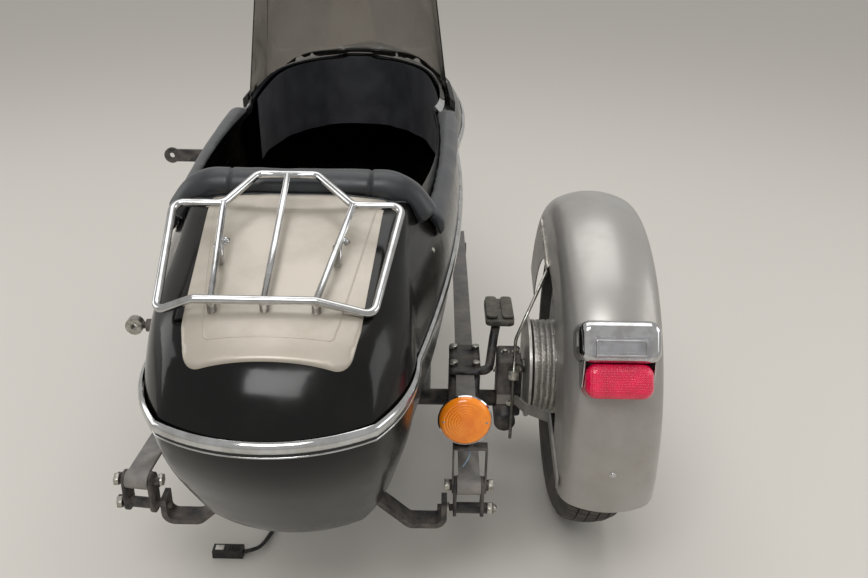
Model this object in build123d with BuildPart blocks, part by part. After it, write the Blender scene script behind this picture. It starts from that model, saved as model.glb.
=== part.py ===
from build123d import *
import os
from math import atan2, cos, degrees, radians, sin, tan

os.makedirs("parts", exist_ok=True)

# Detached single-seat motorcycle sidecar, held at its rear lower rod eye.
# Stations are millimetres: x from the body's centre plane towards the wheel,
# y from the axle line towards the nose, and z from the ground.

# Overall places
AXLE_HEIGHT = 325.0
WHEEL_X = 547.0
EYE_X, EYE_Y, EYE_Z = -466.0, 166.0, 320.0
GAP, ROOM_GAP = 0.3, 0.8

# Body shell and its trim
SHELL_WALL = 5.0
PANEL_THICK = 2.5
PANEL_FRONT_Y, PANEL_LOW_Y, PANEL_REAR_Y = -306.0, -585.0, -640.0
PANEL_FRONT_HALF, PANEL_LOW_HALF, PANEL_REAR_HALF, PANEL_CORNER = 142.0, 125.0, 112.0, 28.0
RIM_BAND, RIM_THICK, TRIM_LOW_Z = 12.0, 5.0, 700.0
LIP_BAND, LIP_THICK, LIP_HEIGHTS = 14.0, 11.0, (TRIM_LOW_Z, 850.0)
BELT_PROUD, BELT_HEIGHT, BELT_GAP = 8.0, 26.0, 0.8
BELT_REBATE, BELT_REBATE_HEIGHT = 3.0, 10.0

# Screen
SCREEN_THICK = 3.0
SCREEN_FOOT_Z, SCREEN_FOOT_HALF, SCREEN_FOOT_REAR, SCREEN_FOOT_FRONT = 722.0, 257.0, 600.0, 1010.0
SCREEN_HEAD_Z, SCREEN_HEAD_HALF, SCREEN_HEAD_REAR, SCREEN_HEAD_FRONT = 1060.0, 212.0, 565.0, 828.0
SCREEN_FOOT_BOW, SCREEN_HEAD_BOW, SCREEN_TUCK = 215.0, 180.0, 12.0

# Padding and seat
ROLL_RADIUS, ROLL_Y, ROLL_TOP, ROLL_BEND = 31.0, -246.0, 835.0, 60.0
ROLL_HALF, ROLL_SHOULDER, ROLL_SAG = 204.0, 166.0, 52.0
PAD_RADIUS, PAD_REAR_Y, PAD_FRONT_Y = 29.0, -226.0, 441.0
PAD_REAR_X, PAD_FRONT_X, PAD_REAR_Z, PAD_FRONT_Z, PAD_BOW = 214.0, 246.0, 728.0, 742.0, 8.0
SEAT_HALF, SEAT_FRONT_Y, SEAT_REAR_Y = 178.0, 300.0, -120.0
SEAT_TOP_Z, SEAT_THICK, SEAT_CORNER = 492.0, 80.0, 30.0
SEAT_BOARD_THICK, FLOOR_BOARD_THICK, FLOOR_BOARD_Z = 12.0, 9.0, 318.0
FLOOR_REAR_Y, FLOOR_FRONT_Y = 20.0, 880.0
BACK_HALF, BACK_PAD_THICK, BACK_BOARD_THICK = 170.0, 46.0, 10.0
BACK_LENGTH, BACK_LEAN = 228.0, 13.0
BACK_FOOT = 14.0
HINGE_Y, HINGE_Z, HINGE_PIN_RADIUS, HINGE_LUG_RADIUS = -176.0, 512.0, 5.0, 10.0
HINGE_X, HINGE_LUG, PIN_CLEARANCE = 120.0, 20.0, 0.05
BULKHEAD_THICK, BULKHEAD_SET, DOOR_HALF, DOOR_LOW, DOOR_TOP = 6.0, 8.0, 150.0, 35.0, 195.0
BULKHEAD_TOP_Z = 742.0
APRON_THICK, APRON_REAR_Y, APRON_LOW_Z = 5.0, 560.0, 600.0

# Luggage rack
RACK_TUBE, RACK_BAR, RACK_BEND = 6.3, 5.0, 16.0
RACK_REAR_MIDDLE, RACK_FRONT_MIDDLE = (-12, -564, 745), (-15, -290, 839)
RACK_RIGHT = [(60, -564, 745), (141, -564, 724), (175, -374, 818), (98, -374, 818), (33, -290, 839)]
RACK_LEFT = [(-113, -564, 745), (-166, -564, 724), (-181, -374, 818), (-103, -374, 818), (-64, -290, 839)]
RACK_BARS = [
    ((-86, -564, 745), (-103, -374, 818)), (RACK_REAR_MIDDLE, RACK_FRONT_MIDDLE),
    ((61, -564, 745), (98, -374, 818)),
]
FOOT_RADIUS = 7.0
FOOT_PLACES = [(-86, -562, 745), (-12, -562, 745), (61, -562, 745), (-95, -460, 785), (81, -460, 785)]

# Chassis tubes
TUBE_RADIUS, RAIL_RADIUS = 17.5, 16.0
CROSS_Z, FRONT_CROSS_Y, RAIL_X = 243.0, 851.0, 205.0
CROSS_LEFT, FRONT_CROSS_LEFT, FRONT_CROSS_RIGHT = -392.0, -410.0, 320.0
OUTRIGGER_RADIUS, COLLAR_RADIUS, COLLAR_LEFT, COLLAR_RIGHT = 11.0, 15.0, -438.0, -404.0
ROD_EYE_RADIUS, ROD_EYE_BORE, ROD_EYE_WIDTH, ROD_SHANK_RADIUS = 20.5, 8.0, 20.0, 8.0
ARM_EYE_X, ARM_EYE_Z, ARM_EYE_RADIUS = -542.0, 520.0, 22.0
ARM_HEIGHT, ARM_THICK, ARM_LEG_X = 35.0, 10.0, -335.0

# Springs, shackles and hangers
LEAF_WIDTH, LEAF_THICK = 38.0, 7.0
SPRING_X, SPRING_EYE_Y, SPRING_EYE_Z, SPRING_CLAMP_Z, SPRING_END_Z = 293.0, -386.0, 300.0, 330.0, 296.0
LEFT_CLAMP_X, SPRING_FLAT_AHEAD = -243.0, 66.0
SPRING_EYE_RADIUS, SPRING_EYE_HALF = 17.0, 21.0
HELPER_BEHIND = 200.0
SHACKLE_PLATE, SHACKLE_WIDTH, SHACKLE_DROP = 6.0, 32.0, 50.0
SHACKLE_BOLT_RADIUS, SHACKLE_NUT_RADIUS, SHACKLE_NUT = 6.0, 10.0, 9.0
CLAMP_WIDTH, CLAMP_LENGTH, CLAMP_THICK, SADDLE_LENGTH = 66.0, 116.0, 8.0, 86.0
CLAMP_BOLT_RADIUS, CLAMP_HEAD_RADIUS, CLAMP_HEAD, CLAMP_BOLT_X, CLAMP_BOLT_Y = 4.0, 8.0, 5.0, 47.0, 70.0
HANGER_THICK, HANGER_WIDTH, HANGER_Z, HANGER_X, HANGER_BEND = 10.0, 38.0, 222.0, 250.0, 18.0
HANGER_STEP_X, HANGER_KEEL_X, HANGER_TOP_Z = 188.0, 118.0, 268.0
FRONT_HANGER_Y, FRONT_HANGER_THICK, FRONT_PAD_X, FRONT_PAD = 640.0, 8.0, 62.0, 40.0

# Step
STEP_X, STEP_Y, STEP_Z = 374.0, 157.0, 380.0
STEP_WIDTH, STEP_LENGTH, STEP_THICK, STEP_CORNER = 64.0, 118.0, 12.0, 14.0
STEP_ARM_RADIUS, STEP_ARM_BEND = 10.0, 18.0
STEP_ROOT, STEP_ARM_ROUTE = (22, 298), [(348, 22, 298), (360, 95, 342)]

# Wheel, hub, brake and axle
TYRE_RADIUS, TYRE_HALF, BEAD_RADIUS, BEAD_HALF = 325.0, 65.0, 205.0, 44.0
TREAD_HALF, TREAD_EDGE_RADIUS = 53.0, 303.0
RIM_FLANGE_RADIUS, RIM_WALL, RIM_WELL = 217.0, 5.0, 14.0
AXLE_RADIUS, AXLE_END, AXLE_NUT, AXLE_NUT_RADIUS = 10.0, 622.0, 10.0, 15.0
DRUM_RADIUS, DRUM_LEFT, DRUM_RIGHT, FIN_DEPTH, FINS = 100.0, 434.0, 486.0, 6.0, 5
HUB_RADIUS, HUB_FLANGE_RADIUS, HUB_FLANGE, HUB_END = 30.0, 52.0, 6.0, 602.0
SPOKE_RADIUS, SPOKES_A_SIDE, SPOKE_SWEEP, SPOKE_RIM_OFFSET, SPOKE_SET = 1.8, 18, 26.0, 9.0, 4.0
BRAKE_PLATE_RADIUS, BRAKE_PLATE_THICK, BRAKE_GAP = 108.0, 6.0, 6.0
BLOCK_LEFT, BLOCK_RIGHT, BLOCK_DEPTH, BLOCK_TOP, BLOCK_LOW = 363.0, 414.0, 76.0, 352.0, 222.0
BLOCK_CORNER = 6.0
STOP_TUBE_RADIUS, STOP_TUBE_X, STOP_TUBE_LENGTH = 23.0, 382.0, 90.0

# Fender, its stays and the lamps
FENDER_RADIUS, FENDER_HALF, FENDER_DEPTH, FENDER_WALL = 384.0, 89.0, 145.0, 2.5
FENDER_BACK_SET, FENDER_DROP = 9.0, 5.0
FENDER_SHOULDER, FENDER_SHOULDER_DROP = 0.72, 15.0
FENDER_CHEEK, FENDER_CHEEK_DROP, FENDER_EDGE_DROP = 0.93, 33.0, 60.0
FENDER_REAR_ANGLE, FENDER_FRONT_ANGLE = -11.5, 17.0
STAY_WIDTH, STAY_THICK, STAY_BEND, STAY_ROD_RADIUS, STAY_ROD_BEND = 22.0, 4.0, 12.0, 3.5, 30.0
STAY_FOOT_X, STAY_PLAN, STAY_END_Y = 403.0, [(416, -118), (455.7, -190)], -350.0
STAY_SIDE, STAY_FRONT_SIDE = [(0, 250), (-190, 318), (-400, 268)], [(155, 598), (70, 574), (-3, 551)]
STAY_ROD_ROUTE = [(395, -50, 415), (395, -50, 173)]
LAMP_ANGLE, LAMP_X, HOOD_HALF, HOOD_LENGTH, HOOD_RISE = 32.0, 541.0, 70.0, 72.0, 52.0
LENS_HALF, LENS_LENGTH, LENS_RISE, LAMP_CORNER, LAMP_TILT = 58.0, 60.0, 46.0, 20.0, 31.0
LAMP_FOOT, LAMP_EDGE = 26.0, 16.0
INDICATOR_X, INDICATOR_Y, INDICATOR_Z, INDICATOR_RADIUS = 282.0, -392.0, 440.0, 44.5
BOWL_RADIUS, BOWL_DEPTH, LENS_DEPTH, INDICATOR_TILT = 47.0, 42.0, 14.0, 6.0
BRACKET_THICK, BRACKET_TOP_Z, BRACKET_WIDTH = 3.0, 384.0, 22.0

# Loose lead under the body
LEAD_RADIUS, LEAD_ARC_SHARE = 4.0, 0.45
PLUG_LENGTH, PLUG_WIDTH, PLUG_HEIGHT, PLUG_TUCK = 62.0, 24.0, 18.0, 1.0


def at(x, y, z):
    """A station as a point of the part, whose origin is the rod eye's centre."""
    return Vector(x - EYE_X, y - EYE_Y, z - EYE_Z)


def level_plane(z, tilt=0.0):
    """A plane seen from above at height z over the axle line, rising forward by tilt."""
    return Plane(origin=at(0, 0, z), x_dir=(1, 0, 0), z_dir=(0, -sin(radians(tilt)), cos(radians(tilt))))


def cross_plane(y):
    """A plane across the body at y, whose local axes are x and z."""
    return Plane(origin=at(0, y, 0), x_dir=(1, 0, 0), z_dir=(0, -1, 0))


def side_plane(x, y=0.0, heading=0.0):
    """An upright plane through x and y, whose local axes are z and the way ahead, turned by heading."""
    ahead = (sin(radians(heading)), cos(radians(heading)), 0)
    return Plane(origin=at(x, y, 0), x_dir=ahead, z_dir=(ahead[1], -ahead[0], 0))


def wheel_plane(angle, y=0.0, z=AXLE_HEIGHT):
    """A plane through the wheel's axis, whose local axes are x and the radius at angle over the rear."""
    radius = (0, -cos(radians(angle)), sin(radians(angle)))
    return Plane(origin=at(0, y, z), x_dir=(1, 0, 0), z_dir=(0, -radius[2], radius[1]))


def bowed(start, end, bulge):
    """An arc from start to end that stands out to the right of its chord by bulge of its length."""
    across, along = end[0] - start[0], end[1] - start[1]
    middle = ((start[0] + end[0]) / 2 + along * bulge, (start[1] + end[1]) / 2 - across * bulge)
    return ThreePointArc(start, middle, end)


# How far each arc of a plan outline stands out, from the tail's corner to the nose, and how much of
# a growth the end corners take sideways
CORNER_BULGE, HIND_BULGE, FORE_BULGE, BOW_BULGE = 0.085, 0.033, 0.07, 0.06
TAIL_GROWTH, NOSE_GROWTH = 0.5, 0.3


def plan_outline(row, grow=0.0):
    """A closed plan outline of arcs through one row of stations, grown all round."""
    tail_x, tail_y, hip_x, hip_y, beam_x, beam_y, bow_x, bow_y, nose_x, nose_y, tail_bow, nose_bow = row
    right = [
        (tail_x + grow * TAIL_GROWTH, tail_y - grow),
        (hip_x + grow, hip_y),
        (beam_x + grow, beam_y),
        (bow_x + grow, bow_y),
        (nose_x + grow * NOSE_GROWTH, nose_y + grow),
    ]
    corners = right + [(-x, y) for x, y in reversed(right)]
    side = [CORNER_BULGE, HIND_BULGE, FORE_BULGE, BOW_BULGE]
    for index, bulge in enumerate(side + [nose_bow] + side[::-1] + [tail_bow]):
        bowed(corners[index], corners[(index + 1) % len(corners)], bulge)


# Levels of the upper body, from the belt to the crown. Columns: height at the axle line, tilt,
# then x and y of the tail corner, hip, beam, bow and nose corner, then the tail's and nose's bow.
DECK_LEVELS = [
    (631.0, 2.7, 148, -668, 201, -500, 270, 500, 200, 1250, 60, 1530, 0.149, 0.33),
    (672.0, 1.8, 142, -638, 199, -490, 268, 490, 192, 1235, 55, 1500, 0.140, 0.33),
    (706.0, 1.3, 137, -602, 194, -465, 258, 480, 182, 1200, 50, 1450, 0.130, 0.33),
    (730.0, 1.0, 134, -553, 187, -430, 243, 470, 165, 1130, 46, 1380, 0.105, 0.33),
    (763.0, 0.5, 142, -418, 182, -335, 217, 450, 140, 1050, 43, 1230, 0.095, 0.33),
    (789.0, 0.2, 150, -300, 172, -250, 191, 400, 110, 900, 40, 1020, 0.090, 0.33),
    (799.0, 0.0, 130, -262, 149, -215, 158, 350, 90, 800, 35, 940, 0.090, 0.33),
]

# Levels of the lower body, from the belt to the keel, in the same columns
HULL_LEVELS = [
    DECK_LEVELS[0],
    (558.0, 2.3, 149, -646, 198, -490, 261, 500, 188, 1220, 50, 1490, 0.150, 0.33),
    (487.0, 1.8, 144, -610, 186, -480, 244, 490, 165, 1180, 45, 1410, 0.150, 0.33),
    (414.0, 1.2, 134, -568, 169, -450, 224, 480, 140, 1120, 40, 1310, 0.150, 0.33),
    (345.0, 0.6, 121, -526, 148, -435, 195, 460, 110, 1040, 35, 1190, 0.150, 0.33),
    (308.0, 0.3, 104, -494, 123, -420, 162, 440, 85, 960, 30, 1080, 0.150, 0.33),
    (290.0, 0.0, 82, -462, 95, -400, 124, 400, 60, 860, 25, 960, 0.150, 0.33),
]
BELT_Z, BELT_TILT, *BELT_ROW = DECK_LEVELS[0]
CROWN_Z, KEEL_Z = DECK_LEVELS[-1][0], HULL_LEVELS[-1][0]

# The cockpit's opening as a row of the same kind
COCKPIT_ROW = (174, -238, 193, -205, 216, 430, 196, 780, 96, 918, 0.01, 0.14)


def body_solid(levels, grow, way):
    """The solid inside the body's skin, grown outward; way is 1 above the belt and -1 below it."""
    with BuildPart() as body:
        for index, (height, tilt, *row) in enumerate(levels):
            shift = way * grow if index else -way * abs(grow)
            with BuildSketch(level_plane(height + shift, tilt)):
                with BuildLine():
                    plan_outline(row, grow)
                make_face()
        loft()
    return body.part


def prism(row, grow, low, high, tilt=0.0):
    """A plan outline, grown outward, as an upright solid between two heights."""
    with BuildPart() as block:
        with BuildSketch(level_plane(low, tilt)):
            with BuildLine():
                plan_outline(row, grow)
            make_face()
        extrude(amount=high - low)
    return block.part


def box_between(low, high):
    """A square-cornered solid between two stations."""
    with BuildPart() as block:
        with Locations(at(*low)):
            Box(*[b - a for a, b in zip(low, high)], align=(Align.MIN, Align.MIN, Align.MIN))
    return block.part


def rod(start, end, radius):
    """A round bar between two stations."""
    low, high = at(*start), at(*end)
    with BuildPart() as bar:
        with BuildSketch(Plane(origin=low, z_dir=high - low)):
            Circle(radius)
        extrude(amount=(high - low).length)
    return bar.part


def bent_rod(stations, bend, radius):
    """A round bar along a bent line of stations."""
    with BuildPart() as bar:
        with BuildLine() as path:
            FilletPolyline(*[at(*station) for station in stations], radius=bend)
        line = path.line
        with BuildSketch(Plane(origin=line @ 0, z_dir=line % 0)):
            Circle(radius)
        sweep(path=line)
    return bar.part


def bent_strap(stations, bend, width, thickness, across):
    """A flat bar along a bent line of stations, with its width along the direction across."""
    with BuildPart() as bar:
        with BuildLine() as path:
            FilletPolyline(*[at(*station) for station in stations], radius=bend)
        line = path.line
        with BuildSketch(Plane(origin=line @ 0, x_dir=across, z_dir=line % 0)):
            Rectangle(width, thickness)
        sweep(path=line)
    return bar.part


def plate_strap(plan, side, bend):
    """An upright flat strap with the bends of a plan route, x and y, and a side route, y and z."""
    with BuildPart() as strap:
        with BuildSketch(level_plane(0)):
            with BuildLine():
                plan_route = FilletPolyline(*plan, radius=bend)
            trace(plan_route, STAY_THICK)
        extrude(amount=2 * AXLE_HEIGHT)
        with BuildSketch(side_plane(0)):
            with BuildLine():
                side_route = FilletPolyline(*side, radius=bend)
            trace(side_route, STAY_WIDTH)
        extrude(amount=WHEEL_X, mode=Mode.INTERSECT)
    return strap.part


over_deck = body_solid(DECK_LEVELS, GAP, 1)
over_panel = body_solid(DECK_LEVELS, PANEL_THICK + GAP, 1)
deck_room = body_solid(DECK_LEVELS, -SHELL_WALL - ROOM_GAP, 1)
hull_room = body_solid(HULL_LEVELS, -SHELL_WALL - ROOM_GAP, -1)

# Body shell, open at the cockpit
with BuildPart() as deck_upper:
    add(body_solid(DECK_LEVELS, 0.0, 1))
    add(body_solid(DECK_LEVELS, -SHELL_WALL, 1), mode=Mode.SUBTRACT)
    add(prism(COCKPIT_ROW, 0.0, BELT_Z, 2 * CROWN_Z), mode=Mode.SUBTRACT)
deck_upper.part.label = "deck_upper"
export_step(deck_upper.part, "parts/deck_upper.step")

with BuildPart() as hull_lower:
    add(body_solid(HULL_LEVELS, 0.0, -1))
    add(body_solid(HULL_LEVELS, -SHELL_WALL, -1), mode=Mode.SUBTRACT)
hull_lower.part.label = "hull_lower"
export_step(hull_lower.part, "parts/hull_lower.step")

# The belt moulding covers the joint of the two halves.
with BuildPart() as belt_moulding:
    belt_low, belt_high = BELT_Z - BELT_HEIGHT / 2, BELT_Z + BELT_HEIGHT / 2
    add(prism(BELT_ROW, BELT_PROUD, belt_low, belt_high, BELT_TILT))
    add(prism(BELT_ROW, BELT_GAP, belt_low, belt_high, BELT_TILT), mode=Mode.SUBTRACT)
    # Rebates along its edges clear the swell of the halves.
    for low in (belt_low, belt_high - BELT_REBATE_HEIGHT):
        add(prism(BELT_ROW, BELT_REBATE, low, low + BELT_REBATE_HEIGHT, BELT_TILT), mode=Mode.SUBTRACT)
belt_moulding.part.label = "belt_moulding"
export_step(belt_moulding.part, "parts/belt_moulding.step")

# The silver panel follows the rear deck.
with BuildPart() as deck_panel:
    with BuildSketch(level_plane(BELT_Z)) as panel_plan:
        Polygon(
            (PANEL_FRONT_HALF, PANEL_FRONT_Y), (PANEL_LOW_HALF, PANEL_LOW_Y),
            (PANEL_REAR_HALF, PANEL_REAR_Y), (-PANEL_REAR_HALF, PANEL_REAR_Y),
            (-PANEL_LOW_HALF, PANEL_LOW_Y), (-PANEL_FRONT_HALF, PANEL_FRONT_Y), align=None,
        )
        rear_corners, low_corners, _ = panel_plan.vertices().group_by(Axis.Y)
        fillet(rear_corners + low_corners, PANEL_CORNER)
    extrude(amount=2 * (CROWN_Z - BELT_Z))
    add(body_solid(DECK_LEVELS, PANEL_THICK, 1), mode=Mode.INTERSECT)
    add(over_deck, mode=Mode.SUBTRACT)
deck_panel.part.label = "deck_panel"
export_step(deck_panel.part, "parts/deck_panel.step")

# The rim trim runs round the cockpit's edge ahead of the roll.
with BuildPart() as cockpit_rim:
    add(prism(COCKPIT_ROW, RIM_BAND, TRIM_LOW_Z, 2 * CROWN_Z))
    add(prism(COCKPIT_ROW, 0.0, BELT_Z, 2 * CROWN_Z), mode=Mode.SUBTRACT)
    add(body_solid(DECK_LEVELS, RIM_THICK, 1), mode=Mode.INTERSECT)
    add(over_deck, mode=Mode.SUBTRACT)
    beside_pads = box_between((-WHEEL_X, 2 * PANEL_REAR_Y, 0), (WHEEL_X, PAD_FRONT_Y + GAP, 2 * CROWN_Z))
    add(beside_pads, mode=Mode.SUBTRACT)
cockpit_rim.part.label = "cockpit_rim"
export_step(cockpit_rim.part, "parts/cockpit_rim.step")

# The screen's foot and head. Columns: half width, rear end, front, depth of the front arc, height.
SCREEN_LEVELS = [
    (SCREEN_FOOT_HALF, SCREEN_FOOT_REAR, SCREEN_FOOT_FRONT, SCREEN_FOOT_BOW, SCREEN_FOOT_Z),
    (SCREEN_HEAD_HALF, SCREEN_HEAD_REAR, SCREEN_HEAD_FRONT, SCREEN_HEAD_BOW, SCREEN_HEAD_Z),
]


def screen_solid(levels, grow):
    """The space inside the wrapped screen, grown outward."""
    with BuildPart() as space:
        for half, rear, front, bow, z in levels:
            knee = (half + grow - SCREEN_TUCK, front - bow)
            with BuildSketch(level_plane(z)):
                with BuildLine():
                    Line((half + grow, rear), knee)
                    ThreePointArc(knee, (0, front + grow), (-knee[0], knee[1]))
                    Line((-knee[0], knee[1]), (-half - grow, rear))
                    Line((-half - grow, rear), (half + grow, rear))
                make_face()
        loft(ruled=True)
    return space.part


# The screen wraps round the front of the cockpit and leans back.
with BuildPart() as windshield:
    add(screen_solid(SCREEN_LEVELS, 0.0))
    add(screen_solid(SCREEN_LEVELS, -SCREEN_THICK), mode=Mode.SUBTRACT)
    add(over_deck, mode=Mode.SUBTRACT)
windshield.part.label = "windshield"
export_step(windshield.part, "parts/windshield.step")

# The rubber lip seats the screen on the cowl.
LIP_LEVELS = [(*SCREEN_LEVELS[0][:-1], height) for height in LIP_HEIGHTS]
with BuildPart() as windshield_lip:
    add(screen_solid(LIP_LEVELS, LIP_BAND))
    add(screen_solid(SCREEN_LEVELS, GAP), mode=Mode.SUBTRACT)
    add(screen_solid(LIP_LEVELS, GAP), mode=Mode.SUBTRACT)
    add(body_solid(DECK_LEVELS, LIP_THICK, 1), mode=Mode.INTERSECT)
    add(over_deck, mode=Mode.SUBTRACT)
windshield_lip.part.label = "windshield_lip"
export_step(windshield_lip.part, "parts/windshield_lip.step")

# Padding

# A roll of padding crosses the deck's front edge behind the seat.
roll_z = ROLL_TOP - ROLL_RADIUS


def roll_solid(grow):
    """The padded roll, grown outward and at its ends."""
    right = [(ROLL_SHOULDER, ROLL_Y, roll_z), (ROLL_HALF + grow, ROLL_Y, roll_z - ROLL_SAG - grow)]
    left = [(-x, y, z) for x, y, z in right[::-1]]
    return bent_rod(left + right, ROLL_BEND, ROLL_RADIUS + grow)


with BuildPart() as seat_roll:
    add(roll_solid(0.0))
    add(over_deck, mode=Mode.SUBTRACT)
seat_roll.part.label = "seat_roll"
export_step(seat_roll.part, "parts/seat_roll.step")

# A pad lies along each side of the cockpit, clear of the roll's ends.
over_roll = roll_solid(GAP)
for side, name in [(-1, "armrest_left"), (1, "armrest_right")]:
    with BuildPart() as armrest:
        with BuildLine() as pad_path:
            middle_x = (PAD_REAR_X + PAD_FRONT_X) / 2 + PAD_BOW
            middle_y, middle_z = (PAD_REAR_Y + PAD_FRONT_Y) / 2, (PAD_REAR_Z + PAD_FRONT_Z) / 2
            ThreePointArc(
                at(side * PAD_REAR_X, PAD_REAR_Y, PAD_REAR_Z),
                at(side * middle_x, middle_y, middle_z),
                at(side * PAD_FRONT_X, PAD_FRONT_Y, PAD_FRONT_Z),
            )
        with BuildSketch(Plane(origin=pad_path.line @ 0, z_dir=pad_path.line % 0)):
            Circle(PAD_RADIUS)
        sweep(path=pad_path.line)
        add(over_deck, mode=Mode.SUBTRACT)
        add(over_roll, mode=Mode.SUBTRACT)
    armrest.part.label = name
    export_step(armrest.part, f"parts/{name}.step")

# Inside the body
seat_board_z = SEAT_TOP_Z - SEAT_THICK - SEAT_BOARD_THICK
with BuildPart() as seat_cushion:
    with BuildSketch(level_plane(SEAT_TOP_Z - SEAT_THICK + GAP)):
        with Locations((0, (SEAT_FRONT_Y + SEAT_REAR_Y) / 2)):
            RectangleRounded(2 * SEAT_HALF, SEAT_FRONT_Y - SEAT_REAR_Y, SEAT_CORNER)
    extrude(amount=SEAT_THICK - GAP)
    fillet(seat_cushion.faces().sort_by(Axis.Z)[-1].edges(), SEAT_CORNER / 2)
seat_cushion.part.label = "seat_cushion"
export_step(seat_cushion.part, "parts/seat_cushion.step")

with BuildPart() as seat_board:
    add(box_between(
        (-2 * SEAT_HALF, SEAT_REAR_Y - SEAT_CORNER, seat_board_z),
        (2 * SEAT_HALF, SEAT_FRONT_Y, seat_board_z + SEAT_BOARD_THICK),
    ))
    add(hull_room, mode=Mode.INTERSECT)
seat_board.part.label = "seat_board"
export_step(seat_board.part, "parts/seat_board.step")

with BuildPart() as floor_board:
    add(box_between(
        (-2 * SEAT_HALF, FLOOR_REAR_Y, FLOOR_BOARD_Z),
        (2 * SEAT_HALF, FLOOR_FRONT_Y, FLOOR_BOARD_Z + FLOOR_BOARD_THICK),
    ))
    add(hull_room, mode=Mode.INTERSECT)
floor_board.part.label = "floor_board"
export_step(floor_board.part, "parts/floor_board.step")

# The seat's back leans on a bulkhead whose door opens into the boot.
back_plane = Plane(
    origin=at(0, HINGE_Y, HINGE_Z), x_dir=(1, 0, 0),
    z_dir=(0, -cos(radians(BACK_LEAN)), -sin(radians(BACK_LEAN))),
)
rear_of_board = BACK_BOARD_THICK / 2
with BuildPart() as boot_bulkhead:
    with BuildSketch(back_plane.offset(rear_of_board + BULKHEAD_SET)):
        with Locations((0, (CROWN_Z - HINGE_Z) / 2)):
            Rectangle(4 * SEAT_HALF, 2 * (CROWN_Z - KEEL_Z))
        with Locations((0, (DOOR_LOW + DOOR_TOP) / 2)):
            Rectangle(2 * DOOR_HALF, DOOR_TOP - DOOR_LOW, mode=Mode.SUBTRACT)
    extrude(amount=BULKHEAD_THICK)
    add(deck_room + hull_room, mode=Mode.INTERSECT)
    add(prism(COCKPIT_ROW, GAP, BULKHEAD_TOP_Z, 2 * CROWN_Z), mode=Mode.SUBTRACT)
    under_board = box_between((-WHEEL_X, -WHEEL_X, 0), (WHEEL_X, WHEEL_X, seat_board_z + SEAT_BOARD_THICK))
    add(under_board, mode=Mode.SUBTRACT)
    for x in (-HINGE_X, HINGE_X):
        with BuildSketch(side_plane(x - HINGE_LUG / 2)):
            with Locations((HINGE_Y, HINGE_Z)):
                Circle(HINGE_LUG_RADIUS)
            with Locations((HINGE_Y - BULKHEAD_SET, HINGE_Z)):
                Rectangle(2 * BULKHEAD_SET, 2 * HINGE_LUG_RADIUS)
        extrude(amount=HINGE_LUG)
    pin_half = HINGE_X + HINGE_LUG / 2
    add(rod((-pin_half, HINGE_Y, HINGE_Z), (pin_half, HINGE_Y, HINGE_Z), HINGE_PIN_RADIUS))
    add(hull_lower.part, mode=Mode.SUBTRACT)
boot_bulkhead.part.label = "boot_bulkhead"
export_step(boot_bulkhead.part, "parts/boot_bulkhead.step")

with BuildPart() as seat_back_board:
    with BuildSketch(back_plane.offset(-rear_of_board)):
        with Locations((0, (BACK_LENGTH + BACK_FOOT) / 2)):
            Rectangle(2 * BACK_HALF, BACK_LENGTH - BACK_FOOT)
    extrude(amount=BACK_BOARD_THICK)
    inner = HINGE_X - HINGE_LUG / 2 - 2 * GAP
    with BuildSketch(side_plane(inner - HINGE_LUG)):
        with Locations((HINGE_Y, HINGE_Z)):
            Circle(HINGE_LUG_RADIUS)
        with Locations(Location((HINGE_Y, HINGE_Z), BACK_LEAN)):
            with Locations((0, BACK_FOOT)):
                Rectangle(BACK_BOARD_THICK, 2 * BACK_FOOT)
        with Locations((HINGE_Y, HINGE_Z)):
            Circle(HINGE_PIN_RADIUS + PIN_CLEARANCE, mode=Mode.SUBTRACT)
    extrude(amount=HINGE_LUG)
    mirror(about=Plane(origin=at(0, 0, 0), z_dir=(1, 0, 0)))
seat_back_board.part.label = "seat_back_board"
export_step(seat_back_board.part, "parts/seat_back_board.step")

with BuildPart() as seat_back_pad:
    with BuildSketch(back_plane.offset(-rear_of_board - GAP)):
        with Locations((0, (BACK_LENGTH + BACK_FOOT) / 2)):
            RectangleRounded(2 * BACK_HALF, BACK_LENGTH - BACK_FOOT, SEAT_CORNER)
    extrude(amount=-BACK_PAD_THICK)
    fillet(seat_back_pad.faces().sort_by(Axis.Y)[-1].edges(), SEAT_CORNER / 2)
seat_back_pad.part.label = "seat_back_pad"
export_step(seat_back_pad.part, "parts/seat_back_pad.step")

# The apron hangs round the front of the cockpit's opening.
with BuildPart() as cowl_apron:
    add(prism(COCKPIT_ROW, -GAP, APRON_LOW_Z, 2 * CROWN_Z))
    add(prism(COCKPIT_ROW, -GAP - APRON_THICK, APRON_LOW_Z, 2 * CROWN_Z), mode=Mode.SUBTRACT)
    add(box_between((-WHEEL_X, -WHEEL_X, 0), (WHEEL_X, APRON_REAR_Y, 2 * CROWN_Z)), mode=Mode.SUBTRACT)
    add(body_solid(DECK_LEVELS, 0.0, 1) + body_solid(HULL_LEVELS, 0.0, -1), mode=Mode.INTERSECT)
cowl_apron.part.label = "cowl_apron"
export_step(cowl_apron.part, "parts/cowl_apron.step")

# Luggage rack over the rear deck. Columns of the loop: x, y and z, from the rear bar round by the right.
with BuildPart() as luggage_rack:
    for half_loop in (RACK_RIGHT, RACK_LEFT):
        add(bent_rod([RACK_REAR_MIDDLE, *half_loop, RACK_FRONT_MIDDLE], RACK_BEND, RACK_TUBE))
    for rear, front in RACK_BARS:
        add(rod(rear, front, RACK_BAR))
    for x, y, top in FOOT_PLACES:
        with Locations(at(x, y, top)):
            Cylinder(FOOT_RADIUS, top - BELT_Z, align=(Align.CENTER, Align.CENTER, Align.MAX))
    add(over_panel, mode=Mode.SUBTRACT)
luggage_rack.part.label = "luggage_rack"
export_step(luggage_rack.part, "parts/luggage_rack.step")

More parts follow.
